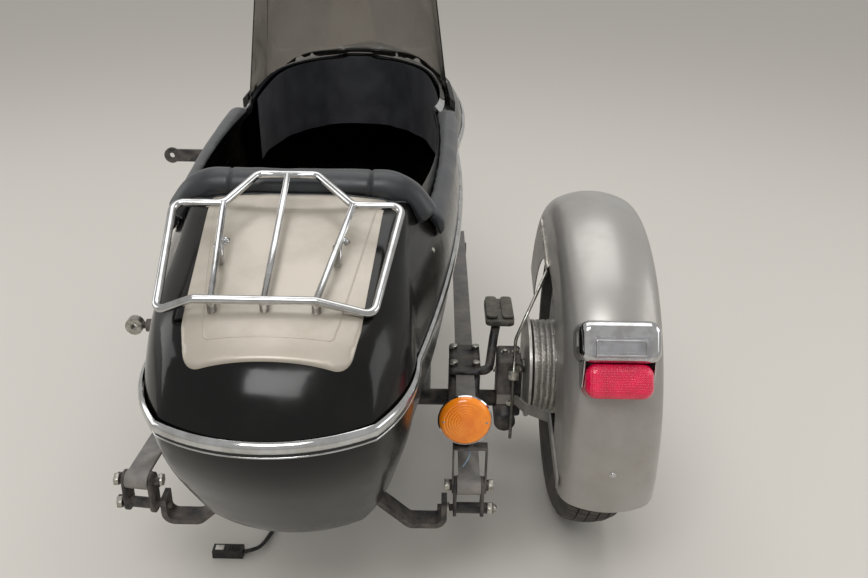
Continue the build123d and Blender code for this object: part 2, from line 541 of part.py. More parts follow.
# Chassis: two cross tubes joined by rails, with the outrigger for the rear rod eye. Columns: start, end.
REAR_CROSS = ((CROSS_LEFT, 0, CROSS_Z), (BLOCK_LEFT - GAP, 0, CROSS_Z))
FRONT_CROSS = ((FRONT_CROSS_LEFT, FRONT_CROSS_Y, CROSS_Z), (FRONT_CROSS_RIGHT, FRONT_CROSS_Y, CROSS_Z))
LEFT_RAIL, RIGHT_RAIL = [((x, 0, CROSS_Z), (x, FRONT_CROSS_Y, CROSS_Z)) for x in (-RAIL_X, RAIL_X)]
TUBES = [
    (REAR_CROSS, TUBE_RADIUS), (FRONT_CROSS, TUBE_RADIUS),
    (LEFT_RAIL, RAIL_RADIUS), (RIGHT_RAIL, RAIL_RADIUS),
]
with BuildPart() as chassis_frame:
    for tube, radius in TUBES:
        add(rod(*tube, radius))
    add(rod((COLLAR_LEFT, EYE_Y, EYE_Z), (COLLAR_RIGHT, EYE_Y, EYE_Z), COLLAR_RADIUS))
    collar_x = (COLLAR_LEFT + COLLAR_RIGHT) / 2
    add(rod((collar_x, EYE_Y, EYE_Z), (CROSS_LEFT + OUTRIGGER_RADIUS, 0, CROSS_Z), OUTRIGGER_RADIUS))
chassis_frame.part.label = "chassis_frame"
export_step(chassis_frame.part, "parts/chassis_frame.step")

# Mounts towards the motorcycle. Columns: name, y and z of the eye, x of the shank's root.
ROD_EYES = [
    ("rear_rod_eye", EYE_Y, EYE_Z, COLLAR_LEFT - GAP),
    ("front_rod_eye", FRONT_CROSS_Y, CROSS_Z, FRONT_CROSS_LEFT - GAP),
]
for name, y, z, root_x in ROD_EYES:
    with BuildPart() as rod_eye:
        with BuildSketch(cross_plane(y)):
            with Locations((EYE_X, z)):
                Circle(ROD_EYE_RADIUS)
        extrude(amount=ROD_EYE_WIDTH / 2, both=True)
        add(rod((EYE_X, y, z), (root_x, y, z), ROD_SHANK_RADIUS))
        with BuildSketch(cross_plane(y)):
            with Locations((EYE_X, z)):
                Circle(ROD_EYE_BORE)
        extrude(amount=ROD_EYE_WIDTH, both=True, mode=Mode.SUBTRACT)
    rod_eye.part.label = name
    export_step(rod_eye.part, f"parts/{name}.step")

with BuildPart() as upper_mount_arm:
    with BuildSketch(cross_plane(FRONT_CROSS_Y)):
        with Locations((ARM_EYE_X, ARM_EYE_Z)):
            Circle(ARM_EYE_RADIUS)
        with Locations(((ARM_EYE_X + ARM_LEG_X) / 2, ARM_EYE_Z)):
            Rectangle(ARM_LEG_X - ARM_EYE_X, ARM_HEIGHT)
        with Locations((ARM_LEG_X, ARM_EYE_Z)):
            Circle(ARM_HEIGHT / 2)
        with Locations((ARM_LEG_X, (ARM_EYE_Z + CROSS_Z) / 2)):
            Rectangle(ARM_HEIGHT, ARM_EYE_Z - CROSS_Z)
        with Locations((ARM_EYE_X, ARM_EYE_Z)):
            Circle(ROD_EYE_BORE, mode=Mode.SUBTRACT)
    extrude(amount=ARM_THICK / 2, both=True)
    add(rod(*FRONT_CROSS, TUBE_RADIUS + GAP), mode=Mode.SUBTRACT)
upper_mount_arm.part.label = "upper_mount_arm"
export_step(upper_mount_arm.part, "parts/upper_mount_arm.step")

# Springs. Columns: name end, x of the rear eye, heading, run to the clamp, reach ahead of it, and
# height of the tip.
left_heading = degrees(atan2(LEFT_CLAMP_X + SPRING_X, -SPRING_EYE_Y))
SPRINGS = [
    ("right", SPRING_X, 0.0, -SPRING_EYE_Y, FRONT_CROSS_Y, SPRING_END_Z),
    ("left", -SPRING_X, left_heading, -SPRING_EYE_Y / cos(radians(left_heading)), 0, SPRING_CLAMP_Z),
]
leaf_eye_z = SPRING_EYE_Z + SPRING_EYE_RADIUS - LEAF_THICK / 2
low_bolt_z = SPRING_EYE_Z - SHACKLE_DROP
saddle_top = SPRING_CLAMP_Z - 1.5 * LEAF_THICK - GAP
plate_low = SPRING_CLAMP_Z + LEAF_THICK / 2 + GAP
plate_in = SPRING_EYE_HALF + GAP
plate_out = plate_in + SHACKLE_PLATE
nut_out = plate_out + BRACKET_THICK + GAP + SHACKLE_NUT
hanger_bolts = []
for name, x, heading, behind, ahead, end_z in SPRINGS:
    # Local axes run ahead from the eye and up.
    plane = side_plane(x, SPRING_EYE_Y, heading)
    clamp_spot = plane.from_local_coords((behind, 0, 0))
    clamp_plane = Plane(origin=clamp_spot, x_dir=plane.z_dir, z_dir=(0, 0, 1))
    flat_rear, flat_front = behind - CLAMP_LENGTH / 2, behind + SPRING_FLAT_AHEAD
    with BuildPart() as leaf_spring:
        with BuildSketch(plane):
            with BuildLine():
                rear_leaf = TangentArc((flat_rear, SPRING_CLAMP_Z), (0, leaf_eye_z), tangent=(-1, 0))
            trace(rear_leaf, LEAF_THICK)
            with Locations(((flat_rear + flat_front) / 2, SPRING_CLAMP_Z - LEAF_THICK / 2)):
                Rectangle(flat_front - flat_rear, 2 * LEAF_THICK)
            if ahead:
                with BuildLine():
                    tip = (behind + ahead, end_z)
                    front_leaf = TangentArc((flat_front, SPRING_CLAMP_Z), tip, tangent=(1, 0))
                trace(front_leaf, LEAF_THICK)
            with BuildLine():
                low_z = SPRING_CLAMP_Z - LEAF_THICK
                helper_tip = (behind - HELPER_BEHIND, low_z - LEAF_THICK)
                helper = TangentArc((flat_rear, low_z), helper_tip, tangent=(-1, 0))
            trace(helper, LEAF_THICK)
        extrude(amount=LEAF_WIDTH / 2, both=True)
        with BuildSketch(plane):
            with Locations((0, SPRING_EYE_Z)):
                Circle(SPRING_EYE_RADIUS)
        extrude(amount=SPRING_EYE_HALF, both=True)
        with BuildSketch(plane):
            with Locations((0, SPRING_EYE_Z)):
                Circle(SHACKLE_BOLT_RADIUS + GAP)
        extrude(amount=2 * SPRING_EYE_HALF, both=True, mode=Mode.SUBTRACT)
    leaf_spring.part.label = f"leaf_spring_{name}"
    export_step(leaf_spring.part, f"parts/leaf_spring_{name}.step")

    # The clamp bolts the spring down on a saddle over the cross tube.
    with BuildPart() as spring_clamp:
        with BuildSketch(clamp_plane.offset(at(0, 0, plate_low).Z - clamp_spot.Z)):
            RectangleRounded(CLAMP_WIDTH, CLAMP_LENGTH, CLAMP_HEAD_RADIUS)
        extrude(amount=CLAMP_THICK)
        with BuildSketch(clamp_plane.offset(at(0, 0, CROSS_Z).Z - clamp_spot.Z)):
            RectangleRounded(CLAMP_WIDTH, SADDLE_LENGTH, CLAMP_HEAD_RADIUS)
        extrude(amount=saddle_top - CROSS_Z)
        with BuildSketch(clamp_plane.offset(at(0, 0, saddle_top).Z - clamp_spot.Z)):
            with GridLocations(CLAMP_BOLT_X, CLAMP_BOLT_Y, 2, 2):
                Circle(CLAMP_BOLT_RADIUS)
        extrude(amount=plate_low - saddle_top)
        with BuildSketch(clamp_plane.offset(at(0, 0, plate_low + CLAMP_THICK).Z - clamp_spot.Z)):
            with GridLocations(CLAMP_BOLT_X, CLAMP_BOLT_Y, 2, 2):
                RegularPolygon(CLAMP_HEAD_RADIUS, 6)
        extrude(amount=CLAMP_HEAD)
        for tube, radius in TUBES:
            add(rod(*tube, radius + GAP), mode=Mode.SUBTRACT)
    spring_clamp.part.label = f"spring_clamp_{name}"
    export_step(spring_clamp.part, f"parts/spring_clamp_{name}.step")

    # Two plates hang the body's bar from the spring's eye. The lower bolt runs on through the bar.
    inboard = -1 if x > 0 else 1
    bolt_reach = plate_out + SHACKLE_NUT + HANGER_THICK + SHACKLE_NUT
    with BuildPart() as shackle:
        for side in (-1, 1):
            with BuildSketch(plane.offset(side * plate_in)):
                with Locations(Location((0, SPRING_EYE_Z - SHACKLE_DROP / 2), 90)):
                    SlotCenterToCenter(SHACKLE_DROP, SHACKLE_WIDTH)
            extrude(amount=side * SHACKLE_PLATE)
            with BuildSketch(plane.offset(side * (nut_out - SHACKLE_NUT))):
                with Locations((0, SPRING_EYE_Z)):
                    RegularPolygon(SHACKLE_NUT_RADIUS, 6)
            extrude(amount=side * SHACKLE_NUT)
        with BuildSketch(plane):
            with Locations((0, SPRING_EYE_Z)):
                Circle(SHACKLE_BOLT_RADIUS)
        extrude(amount=nut_out, both=True)
        with BuildSketch(plane):
            with Locations((0, low_bolt_z)):
                Circle(SHACKLE_NUT_RADIUS)
        extrude(amount=plate_in, both=True)
        with BuildSketch(plane):
            with Locations((0, low_bolt_z)):
                Circle(SHACKLE_BOLT_RADIUS)
        extrude(amount=inboard * bolt_reach)
        with BuildSketch(plane.offset(-inboard * plate_out)):
            with Locations((0, low_bolt_z)):
                RegularPolygon(SHACKLE_NUT_RADIUS, 6)
        extrude(amount=-inboard * 2 * SHACKLE_NUT)
    shackle.part.label = f"shackle_{name}"
    export_step(shackle.part, f"parts/shackle_{name}.step")
    across = inboard * bolt_reach
    bolt_end = (x + across * cos(radians(heading)), SPRING_EYE_Y - across * sin(radians(heading)), low_bolt_z)
    hanger_bolts.append(((x, SPRING_EYE_Y, low_bolt_z), bolt_end))

# Bars under the body: the rear one hangs from the shackles and the front one lies on the rails.
hanger_high = KEEL_Z - GAP - HANGER_THICK / 2
with BuildPart() as hanger_rear:
    right = [
        (HANGER_KEEL_X, hanger_high), (HANGER_STEP_X, HANGER_Z), (HANGER_X, HANGER_Z),
        (HANGER_X, HANGER_TOP_Z),
    ]
    route = [(-x, SPRING_EYE_Y, z) for x, z in right[::-1]] + [(x, SPRING_EYE_Y, z) for x, z in right]
    add(bent_strap(route, HANGER_BEND, HANGER_WIDTH, HANGER_THICK, (0, 1, 0)))
    for start, end in hanger_bolts:
        add(rod(start, end, SHACKLE_BOLT_RADIUS + GAP), mode=Mode.SUBTRACT)
hanger_rear.part.label = "hanger_rear"
export_step(hanger_rear.part, "parts/hanger_rear.step")

front_bar_z = CROSS_Z + RAIL_RADIUS + GAP
with BuildPart() as hanger_front:
    add(box_between(
        (-RAIL_X - RAIL_RADIUS, FRONT_HANGER_Y - HANGER_WIDTH / 2, front_bar_z),
        (RAIL_X + RAIL_RADIUS, FRONT_HANGER_Y + HANGER_WIDTH / 2, front_bar_z + FRONT_HANGER_THICK),
    ))
    for x in (-FRONT_PAD_X, FRONT_PAD_X):
        add(box_between(
            (x - FRONT_PAD / 2, FRONT_HANGER_Y - HANGER_WIDTH / 2, front_bar_z),
            (x + FRONT_PAD / 2, FRONT_HANGER_Y + HANGER_WIDTH / 2, KEEL_Z - GAP),
        ))
hanger_front.part.label = "hanger_front"
export_step(hanger_front.part, "parts/hanger_front.step")

# Step beside the body, on an arm from the right spring's clamp
step_low = STEP_Z - STEP_THICK - GAP
with BuildPart() as step_arm:
    root_x = SPRING_X + CLAMP_WIDTH / 2 + GAP
    arm_route = [(root_x, *STEP_ROOT), *STEP_ARM_ROUTE, (STEP_X, STEP_Y, STEP_Z)]
    add(bent_rod(arm_route, STEP_ARM_BEND, STEP_ARM_RADIUS))
    add(box_between((0, 0, step_low), (2 * STEP_X, 2 * STEP_Y, 2 * STEP_Z)), mode=Mode.SUBTRACT)
step_arm.part.label = "step_arm"
export_step(step_arm.part, "parts/step_arm.step")

with BuildPart() as step_pad:
    with BuildSketch(level_plane(STEP_Z - STEP_THICK)):
        with Locations((STEP_X, STEP_Y)):
            RectangleRounded(STEP_WIDTH, STEP_LENGTH, STEP_CORNER)
    extrude(amount=STEP_THICK)
step_pad.part.label = "step_pad"
export_step(step_pad.part, "parts/step_pad.step")

# Axle block, axle and brake plate
with BuildPart() as axle_block:
    add(box_between((BLOCK_LEFT, -BLOCK_DEPTH / 2, BLOCK_LOW), (BLOCK_RIGHT, BLOCK_DEPTH / 2, BLOCK_TOP)))
    fillet(axle_block.edges().filter_by(Axis.Y), BLOCK_CORNER)
    tube_z = BLOCK_LOW - STOP_TUBE_RADIUS / 2
    tube_rear, tube_front = [(STOP_TUBE_X, way * STOP_TUBE_LENGTH / 2, tube_z) for way in (-1, 1)]
    add(rod(tube_rear, tube_front, STOP_TUBE_RADIUS))
axle_block.part.label = "axle_block"
export_step(axle_block.part, "parts/axle_block.step")



def on_axle(left, right, radius):
    """A round bar along the axle's line, from left to right."""
    return rod((left, 0, AXLE_HEIGHT), (right, 0, AXLE_HEIGHT), radius)


plate_right = DRUM_LEFT - BRAKE_GAP
plate_left = plate_right - BRAKE_PLATE_THICK
with BuildPart() as wheel_axle:
    add(on_axle(BLOCK_RIGHT, AXLE_END, AXLE_RADIUS))
    add(on_axle(BLOCK_RIGHT, plate_left, AXLE_NUT_RADIUS))
    add(on_axle(AXLE_END - AXLE_NUT, AXLE_END, AXLE_NUT_RADIUS))
wheel_axle.part.label = "wheel_axle"
export_step(wheel_axle.part, "parts/wheel_axle.step")

with BuildPart() as brake_plate:
    add(on_axle(plate_left + GAP, plate_right, BRAKE_PLATE_RADIUS))
    add(on_axle(BLOCK_RIGHT, AXLE_END, AXLE_RADIUS + GAP), mode=Mode.SUBTRACT)
brake_plate.part.label = "brake_plate"
export_step(brake_plate.part, "parts/brake_plate.step")

# Wheel. Its profiles are turned round the axle, in x and radius.
wheel_axis = Axis(at(0, 0, AXLE_HEIGHT), (1, 0, 0))
upright = wheel_plane(90)


def mirrored(points):
    """Points of half a wheel section, in x from the wheel's middle and radius, then their mirror images."""
    right = [(WHEEL_X + x, radius) for x, radius in points]
    return right + [(WHEEL_X - x, radius) for x, radius in reversed(points)]


belly_radius = (TYRE_RADIUS + BEAD_RADIUS) / 2
TYRE_HALF_SECTION = [
    (0, TYRE_RADIUS), (TREAD_HALF, TREAD_EDGE_RADIUS), (TYRE_HALF, belly_radius),
    (BEAD_HALF, RIM_FLANGE_RADIUS + RIM_WALL), (BEAD_HALF, BEAD_RADIUS),
]
with BuildPart() as tyre:
    with BuildSketch(upright):
        with BuildLine():
            section = mirrored(TYRE_HALF_SECTION)
            crown, edge, belly, heel, bead, far_bead, far_heel, far_belly, far_edge, _ = section
            ThreePointArc(far_edge, crown, edge)
            ThreePointArc(edge, belly, heel)
            Polyline(heel, bead, far_bead, far_heel)
            ThreePointArc(far_heel, far_belly, far_edge)
        make_face()
    revolve(axis=wheel_axis)
tyre.part.label = "tyre"
export_step(tyre.part, "parts/tyre.step")

rim_bed = BEAD_RADIUS - GAP
well_low = rim_bed - RIM_WELL - RIM_WALL
flange_in, well_half = BEAD_HALF + GAP, BEAD_HALF / 2
RIM_HALF_SECTION = [
    (0, well_low), (well_half, well_low), (well_half + RIM_WALL, rim_bed - RIM_WALL),
    (flange_in + RIM_WALL, rim_bed - RIM_WALL), (flange_in + RIM_WALL, RIM_FLANGE_RADIUS),
    (flange_in, RIM_FLANGE_RADIUS), (flange_in, rim_bed), (well_half, rim_bed),
    (well_half - RIM_WALL, rim_bed - RIM_WELL), (0, rim_bed - RIM_WELL),
]
with BuildPart() as wheel_rim:
    with BuildSketch(upright):
        for side in (-1, 1):
            Polygon(*[(WHEEL_X + side * x, radius) for x, radius in RIM_HALF_SECTION], align=None)
    revolve(axis=wheel_axis)
wheel_rim.part.label = "wheel_rim"
export_step(wheel_rim.part, "parts/wheel_rim.step")

# Columns of the spokes' flanges: x, radius and side of the wheel.
spoke_foot = DRUM_RADIUS - FIN_DEPTH - SPOKE_SET
SPOKE_FLANGES = [
    (DRUM_RIGHT - HUB_FLANGE, spoke_foot, -1),
    (HUB_END - HUB_FLANGE / 2, HUB_FLANGE_RADIUS - SPOKE_SET, 1),
]
with BuildPart() as wheel_hub:
    add(on_axle(DRUM_LEFT, DRUM_RIGHT, DRUM_RADIUS - FIN_DEPTH))
    fin_pitch = (DRUM_RIGHT - DRUM_LEFT) / (2 * FINS - 1)
    for fin in range(FINS):
        left = DRUM_LEFT + 2 * fin * fin_pitch
        add(on_axle(left, left + fin_pitch, DRUM_RADIUS))
    add(on_axle(DRUM_RIGHT, HUB_END, HUB_RADIUS))
    add(on_axle(HUB_END - HUB_FLANGE, HUB_END, HUB_FLANGE_RADIUS))
    # Spokes run from both flanges to the rim, swept each way in turn.
    for flange_x, flange_radius, side in SPOKE_FLANGES:
        for index in range(SPOKES_A_SIDE):
            way = 1 if index % 2 else -1
            foot = radians((index + side / 4) * 360 / SPOKES_A_SIDE)
            head = foot + radians(way * SPOKE_SWEEP)
            reach = well_low - SPOKE_RADIUS
            start_x, end_x = flange_x + way * SPOKE_RADIUS, WHEEL_X + side * SPOKE_RIM_OFFSET
            start = (start_x, flange_radius * sin(foot), AXLE_HEIGHT + flange_radius * cos(foot))
            add(rod(start, (end_x, reach * sin(head), AXLE_HEIGHT + reach * cos(head)), SPOKE_RADIUS))
    add(on_axle(BLOCK_RIGHT, AXLE_END, AXLE_RADIUS + PIN_CLEARANCE), mode=Mode.SUBTRACT)
wheel_hub.part.label = "wheel_hub"
export_step(wheel_hub.part, "parts/wheel_hub.step")

# Fender, turned about a centre a little behind and below the axle
fender_y, fender_z = -FENDER_BACK_SET, AXLE_HEIGHT - FENDER_DROP


def fender_section(half, top, low):
    """The fender's crowned section in x and radius, closed across its open side."""
    foot, edge, cheek, shoulder, far_shoulder, far_cheek, far_edge, far_foot = mirrored([
        (half, low), (half, top - FENDER_EDGE_DROP),
        (half * FENDER_CHEEK, top - FENDER_CHEEK_DROP),
        (half * FENDER_SHOULDER, top - FENDER_SHOULDER_DROP),
    ])
    ThreePointArc(edge, cheek, shoulder)
    ThreePointArc(shoulder, (WHEEL_X, top), far_shoulder)
    ThreePointArc(far_shoulder, far_cheek, far_edge)
    Polyline(far_edge, far_foot, foot, edge)


def fender_solid(grow, low):
    """The fender's outer form, grown outward, down to the radius low."""
    with BuildPart() as form:
        with BuildSketch(wheel_plane(FENDER_REAR_ANGLE, fender_y, fender_z)):
            with BuildLine():
                fender_section(FENDER_HALF + grow, FENDER_RADIUS + grow, low)
            make_face()
        revolve(
            axis=Axis(at(0, fender_y, fender_z), (-1, 0, 0)),
            revolution_arc=180 - FENDER_FRONT_ANGLE - FENDER_REAR_ANGLE,
        )
    return form.part


skirt = FENDER_RADIUS - FENDER_DEPTH
over_fender = fender_solid(GAP, skirt)
with BuildPart() as fender:
    add(fender_solid(0.0, skirt))
    add(fender_solid(-FENDER_WALL, skirt - FENDER_WALL), mode=Mode.SUBTRACT)
fender.part.label = "fender"
export_step(fender.part, "parts/fender.step")

# Stays carry the fender from the axle block: a strap behind, and a strap with a rod above.
stay_x = WHEEL_X - FENDER_HALF - GAP - STAY_THICK / 2
with BuildPart() as fender_stay_rear:
    root_y = -BLOCK_DEPTH / 2 - GAP - STAY_THICK / 2
    plan = [(BLOCK_LEFT, root_y), (STAY_FOOT_X, root_y), *STAY_PLAN, (stay_x, STAY_END_Y)]
    add(plate_strap(plan, STAY_SIDE, STAY_BEND))
fender_stay_rear.part.label = "fender_stay_rear"
export_step(fender_stay_rear.part, "parts/fender_stay_rear.step")

with BuildPart() as fender_stay_front:
    with BuildSketch(side_plane(stay_x)):
        with BuildLine():
            strap_route = FilletPolyline(*STAY_FRONT_SIDE, radius=STAY_BEND)
        trace(strap_route, STAY_WIDTH)
    extrude(amount=STAY_THICK / 2, both=True)
    add(bent_rod([(stay_x, *STAY_FRONT_SIDE[-1]), *STAY_ROD_ROUTE], STAY_ROD_BEND, STAY_ROD_RADIUS))
    clip_x, clip_y, _ = STAY_ROD_ROUTE[-1]
    clip_z = BLOCK_TOP - STAY_WIDTH
    add(box_between(
        (clip_x - STAY_WIDTH / 2, clip_y - STAY_ROD_RADIUS, clip_z - STAY_WIDTH / 2),
        (clip_x + STAY_WIDTH / 2, -BLOCK_DEPTH / 2 - GAP, clip_z + STAY_WIDTH / 2),
    ))
fender_stay_front.part.label = "fender_stay_front"
export_step(fender_stay_front.part, "parts/fender_stay_front.step")

# Tail lamp on the fender: a chromed hood over a red lens
lamp_foot = wheel_plane(LAMP_ANGLE, fender_y, fender_z)
lamp_plane = Plane(
    origin=lamp_foot.from_local_coords((LAMP_X, FENDER_RADIUS - LAMP_FOOT, 0)),
    x_dir=(1, 0, 0), z_dir=(0, -cos(radians(LAMP_TILT)), sin(radians(LAMP_TILT))),
)


def lamp_block(half, length, middle, rise):
    """A rounded block standing on the fender at the lamp."""
    with BuildPart() as block:
        with BuildSketch(lamp_plane):
            with Locations((0, middle)):
                RectangleRounded(2 * half, length, LAMP_CORNER)
        extrude(amount=LAMP_FOOT + rise)
        fillet(block.faces().sort_by(Axis(lamp_plane.origin, lamp_plane.z_dir))[-1].edges(), LAMP_EDGE)
        add(over_fender, mode=Mode.SUBTRACT)
    return block.part


with BuildPart() as tail_lamp_hood:
    add(lamp_block(HOOD_HALF, HOOD_LENGTH, HOOD_LENGTH / 2, HOOD_RISE))
tail_lamp_hood.part.label = "tail_lamp_hood"
export_step(tail_lamp_hood.part, "parts/tail_lamp_hood.step")

with BuildPart() as tail_lamp_lens:
    add(lamp_block(LENS_HALF, LENS_LENGTH, -LENS_LENGTH / 2 - GAP, LENS_RISE))
tail_lamp_lens.part.label = "tail_lamp_lens"
export_step(tail_lamp_lens.part, "parts/tail_lamp_lens.step")

# Amber indicator on a bracket over the right shackle
indicator_plane = Plane(
    origin=at(INDICATOR_X, INDICATOR_Y, INDICATOR_Z), x_dir=(1, 0, 0),
    z_dir=(0, -cos(radians(INDICATOR_TILT)), sin(radians(INDICATOR_TILT))),
)
with BuildPart() as indicator_bowl:
    with BuildSketch(indicator_plane):
        Circle(BOWL_RADIUS)
    with BuildSketch(indicator_plane.offset(-BOWL_DEPTH)):
        Circle(BOWL_RADIUS / 2)
    loft()
indicator_bowl.part.label = "indicator_bowl"
export_step(indicator_bowl.part, "parts/indicator_bowl.step")

with BuildPart() as indicator_lens:
    with BuildSketch(indicator_plane.offset(GAP)):
        Circle(INDICATOR_RADIUS)
    extrude(amount=LENS_DEPTH)
    fillet(indicator_lens.edges().sort_by(Axis.Y)[0], LENS_DEPTH / 2)
indicator_lens.part.label = "indicator_lens"
export_step(indicator_lens.part, "parts/indicator_lens.step")

leg_x = SPRING_EYE_HALF + SHACKLE_PLATE + GAP + BRACKET_THICK / 2 + GAP / 2
leg_low = SPRING_EYE_Z - SHACKLE_NUT_RADIUS
with BuildPart() as indicator_bracket:
    with BuildSketch(cross_plane(SPRING_EYE_Y - BRACKET_WIDTH / 2)):
        for side in (-1, 1):
            with Locations((SPRING_X + side * leg_x, (BRACKET_TOP_Z + leg_low) / 2)):
                Rectangle(BRACKET_THICK, BRACKET_TOP_Z - leg_low)
        with Locations((SPRING_X, BRACKET_TOP_Z - BRACKET_THICK / 2)):
            Rectangle(2 * leg_x + BRACKET_THICK, BRACKET_THICK)
    extrude(amount=-BRACKET_WIDTH)
    stem_low, stem_top = [(SPRING_X, SPRING_EYE_Y, z) for z in (BRACKET_TOP_Z, INDICATOR_Z - BOWL_RADIUS / 2)]
    add(rod(stem_low, stem_top, SHACKLE_BOLT_RADIUS))
    with BuildSketch(side_plane(SPRING_X)):
        with Locations((SPRING_EYE_Y, SPRING_EYE_Z)):
            Circle(SHACKLE_BOLT_RADIUS + GAP)
    extrude(amount=2 * SPRING_EYE_HALF, both=True, mode=Mode.SUBTRACT)
    add(indicator_bowl.part, mode=Mode.SUBTRACT)
    keep = indicator_bracket.part.solids().sort_by(SortBy.VOLUME)[-1]
    add(keep, mode=Mode.REPLACE)
indicator_bracket.part.label = "indicator_bracket"
export_step(indicator_bracket.part, "parts/indicator_bracket.step")

# Loose lead under the body, from the keel to its plug on the floor, as straight runs with tangent arcs
LEAD_ROUTE = [
    (-60, -60, 289.7), (-60, -60, 170), (-74, -88, 40), (-98, -130, 4),
    (-112, -168, 4), (-120, -204, 6), (-132, -230, 9), (-157, -237, 9),
]


def corner_radius(before, corner, after):
    """The radius of the arc that takes its share of the shorter run on each side of a corner."""
    arrive, leave = at(*corner) - at(*before), at(*after) - at(*corner)
    return LEAD_ARC_SHARE * min(arrive.length, leave.length) / tan(radians(arrive.get_angle(leave)) / 2)


with BuildPart() as harness_lead:
    with BuildLine() as lead_path:
        start = at(*LEAD_ROUTE[0])
        for before, corner, after in zip(LEAD_ROUTE, LEAD_ROUTE[1:], LEAD_ROUTE[2:]):
            radius = corner_radius(before, corner, after)
            back, ahead = at(*before) - at(*corner), at(*after) - at(*corner)
            reach = LEAD_ARC_SHARE * min(back.length, ahead.length)
            enter, leave = at(*corner) + back.normalized() * reach, at(*corner) + ahead.normalized() * reach
            Line(start, enter)
            TangentArc(enter, leave, tangent=-back)
            print("lead corner", corner, "radius", round(radius, 1))
            start = leave
        Line(start, at(*LEAD_ROUTE[-1]))
    print("lead length", round(lead_path.wire().length, 1))
    with BuildSketch(Plane(origin=lead_path.wire() @ 0, z_dir=lead_path.wire() % 0)):
        Circle(LEAD_RADIUS)
    sweep(path=lead_path.wire())
harness_lead.part.label = "harness_lead"
export_step(harness_lead.part, "parts/harness_lead.step")

plug_right, plug_y = LEAD_ROUTE[-1][0] - PLUG_TUCK, LEAD_ROUTE[-1][1]
with BuildPart() as harness_plug:
    add(box_between(
        (plug_right - PLUG_LENGTH, plug_y - PLUG_WIDTH / 2, 0),
        (plug_right, plug_y + PLUG_WIDTH / 2, PLUG_HEIGHT),
    ))
harness_plug.part.label = "harness_plug"
export_step(harness_plug.part, "parts/harness_plug.step")
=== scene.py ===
from math import atan2, cos, exp, pi, radians, sin, tan, tau

import bmesh
import bpy
from mathutils import Matrix, Vector, noise
from mathutils.bvhtree import BVHTree


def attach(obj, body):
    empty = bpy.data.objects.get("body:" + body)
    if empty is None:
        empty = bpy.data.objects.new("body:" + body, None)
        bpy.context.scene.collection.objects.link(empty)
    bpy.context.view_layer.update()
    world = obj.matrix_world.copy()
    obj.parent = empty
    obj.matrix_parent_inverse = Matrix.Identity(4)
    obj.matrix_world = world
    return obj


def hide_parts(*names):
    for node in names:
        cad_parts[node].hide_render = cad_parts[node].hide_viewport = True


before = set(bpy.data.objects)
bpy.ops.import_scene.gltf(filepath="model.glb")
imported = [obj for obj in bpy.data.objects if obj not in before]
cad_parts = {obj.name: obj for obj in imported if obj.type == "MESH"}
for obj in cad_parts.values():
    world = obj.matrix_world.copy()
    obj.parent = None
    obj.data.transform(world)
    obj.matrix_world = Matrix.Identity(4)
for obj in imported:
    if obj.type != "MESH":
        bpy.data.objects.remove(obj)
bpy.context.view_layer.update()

# A detached single-seat motorcycle sidecar. Stations are millimetres as in the part's source: x from
# the body's centre plane towards the wheel, y from the axle line ahead, and z from the ground.
EYE_STATION = (-466.0, 166.0, 320.0)
AXLE_HEIGHT, WHEEL_X = 325.0, 547.0


def at(x, y, z):
    """A station as a point of the frame, in metres."""
    return Vector((x - EYE_STATION[0], y - EYE_STATION[1], z - EYE_STATION[2])) / 1000


# Finishes


def colour(code):
    """A linear colour from sRGB hex."""
    shares = [int(code[i : i + 2], 16) / 255 for i in (0, 2, 4)]
    return (*[c / 12.92 if c <= 0.04045 else ((c + 0.055) / 1.055) ** 2.4 for c in shares], 1.0)


def add(material, kind, inputs, **settings):
    """Adds a node, with its settings and its inputs, which are values or other nodes' outputs."""
    made = material.node_tree.nodes.new(f"ShaderNode{kind}")
    for key, value in settings.items():
        setattr(made, key, value)
    for socket, value in inputs.items():
        if isinstance(value, bpy.types.NodeSocket):
            material.node_tree.links.new(value, made.inputs[socket])
        else:
            made.inputs[socket].default_value = value
    return made


def per_mm(size):
    """The scale of a pattern on object coordinates that repeats at this size in millimetres."""
    return 1000 / size


# Noise of the soil patches and of the grain
PATCH_DETAIL, PATCH_ROUGHNESS, PATCH_LOW, PATCH_HIGH, GRAIN_DETAIL = 6.0, 0.62, 0.4, 0.7, 3.0


def finish(name, base, soil, patch, clean, dull, grain, depth, **shader_values):
    """A surface with patches of soil that dull it and a fine grain. Sizes are in millimetres."""
    material = bpy.data.materials.new(name)
    material.use_nodes = True
    shader = material.node_tree.nodes["Principled BSDF"]
    for socket, value in shader_values.items():
        shader.inputs[socket.replace("_", " ")].default_value = value
    place = add(material, "TexCoord", {}).outputs["Object"]
    patches = add(
        material, "TexNoise",
        {"Vector": place, "Scale": per_mm(patch), "Detail": PATCH_DETAIL, "Roughness": PATCH_ROUGHNESS},
    )
    share = add(
        material, "MapRange",
        {"Value": patches.outputs["Fac"], "From Min": PATCH_LOW, "From Max": PATCH_HIGH},
    )
    tint = add(
        material, "Mix", {0: share.outputs[0], 6: colour(base), 7: colour(soil)}, data_type="RGBA"
    )
    dulling = add(material, "MapRange", {"Value": share.outputs[0], "To Min": clean, "To Max": dull})
    grains = add(material, "TexNoise", {"Vector": place, "Scale": per_mm(grain), "Detail": GRAIN_DETAIL})
    bump = add(
        material, "Bump", {"Height": grains.outputs["Fac"], "Strength": 1.0, "Distance": depth / 1000}
    )
    links = material.node_tree.links
    links.new(tint.outputs[2], shader.inputs["Base Color"])
    links.new(dulling.outputs[0], shader.inputs["Roughness"])
    links.new(bump.outputs["Normal"], shader.inputs["Normal"])
    return material


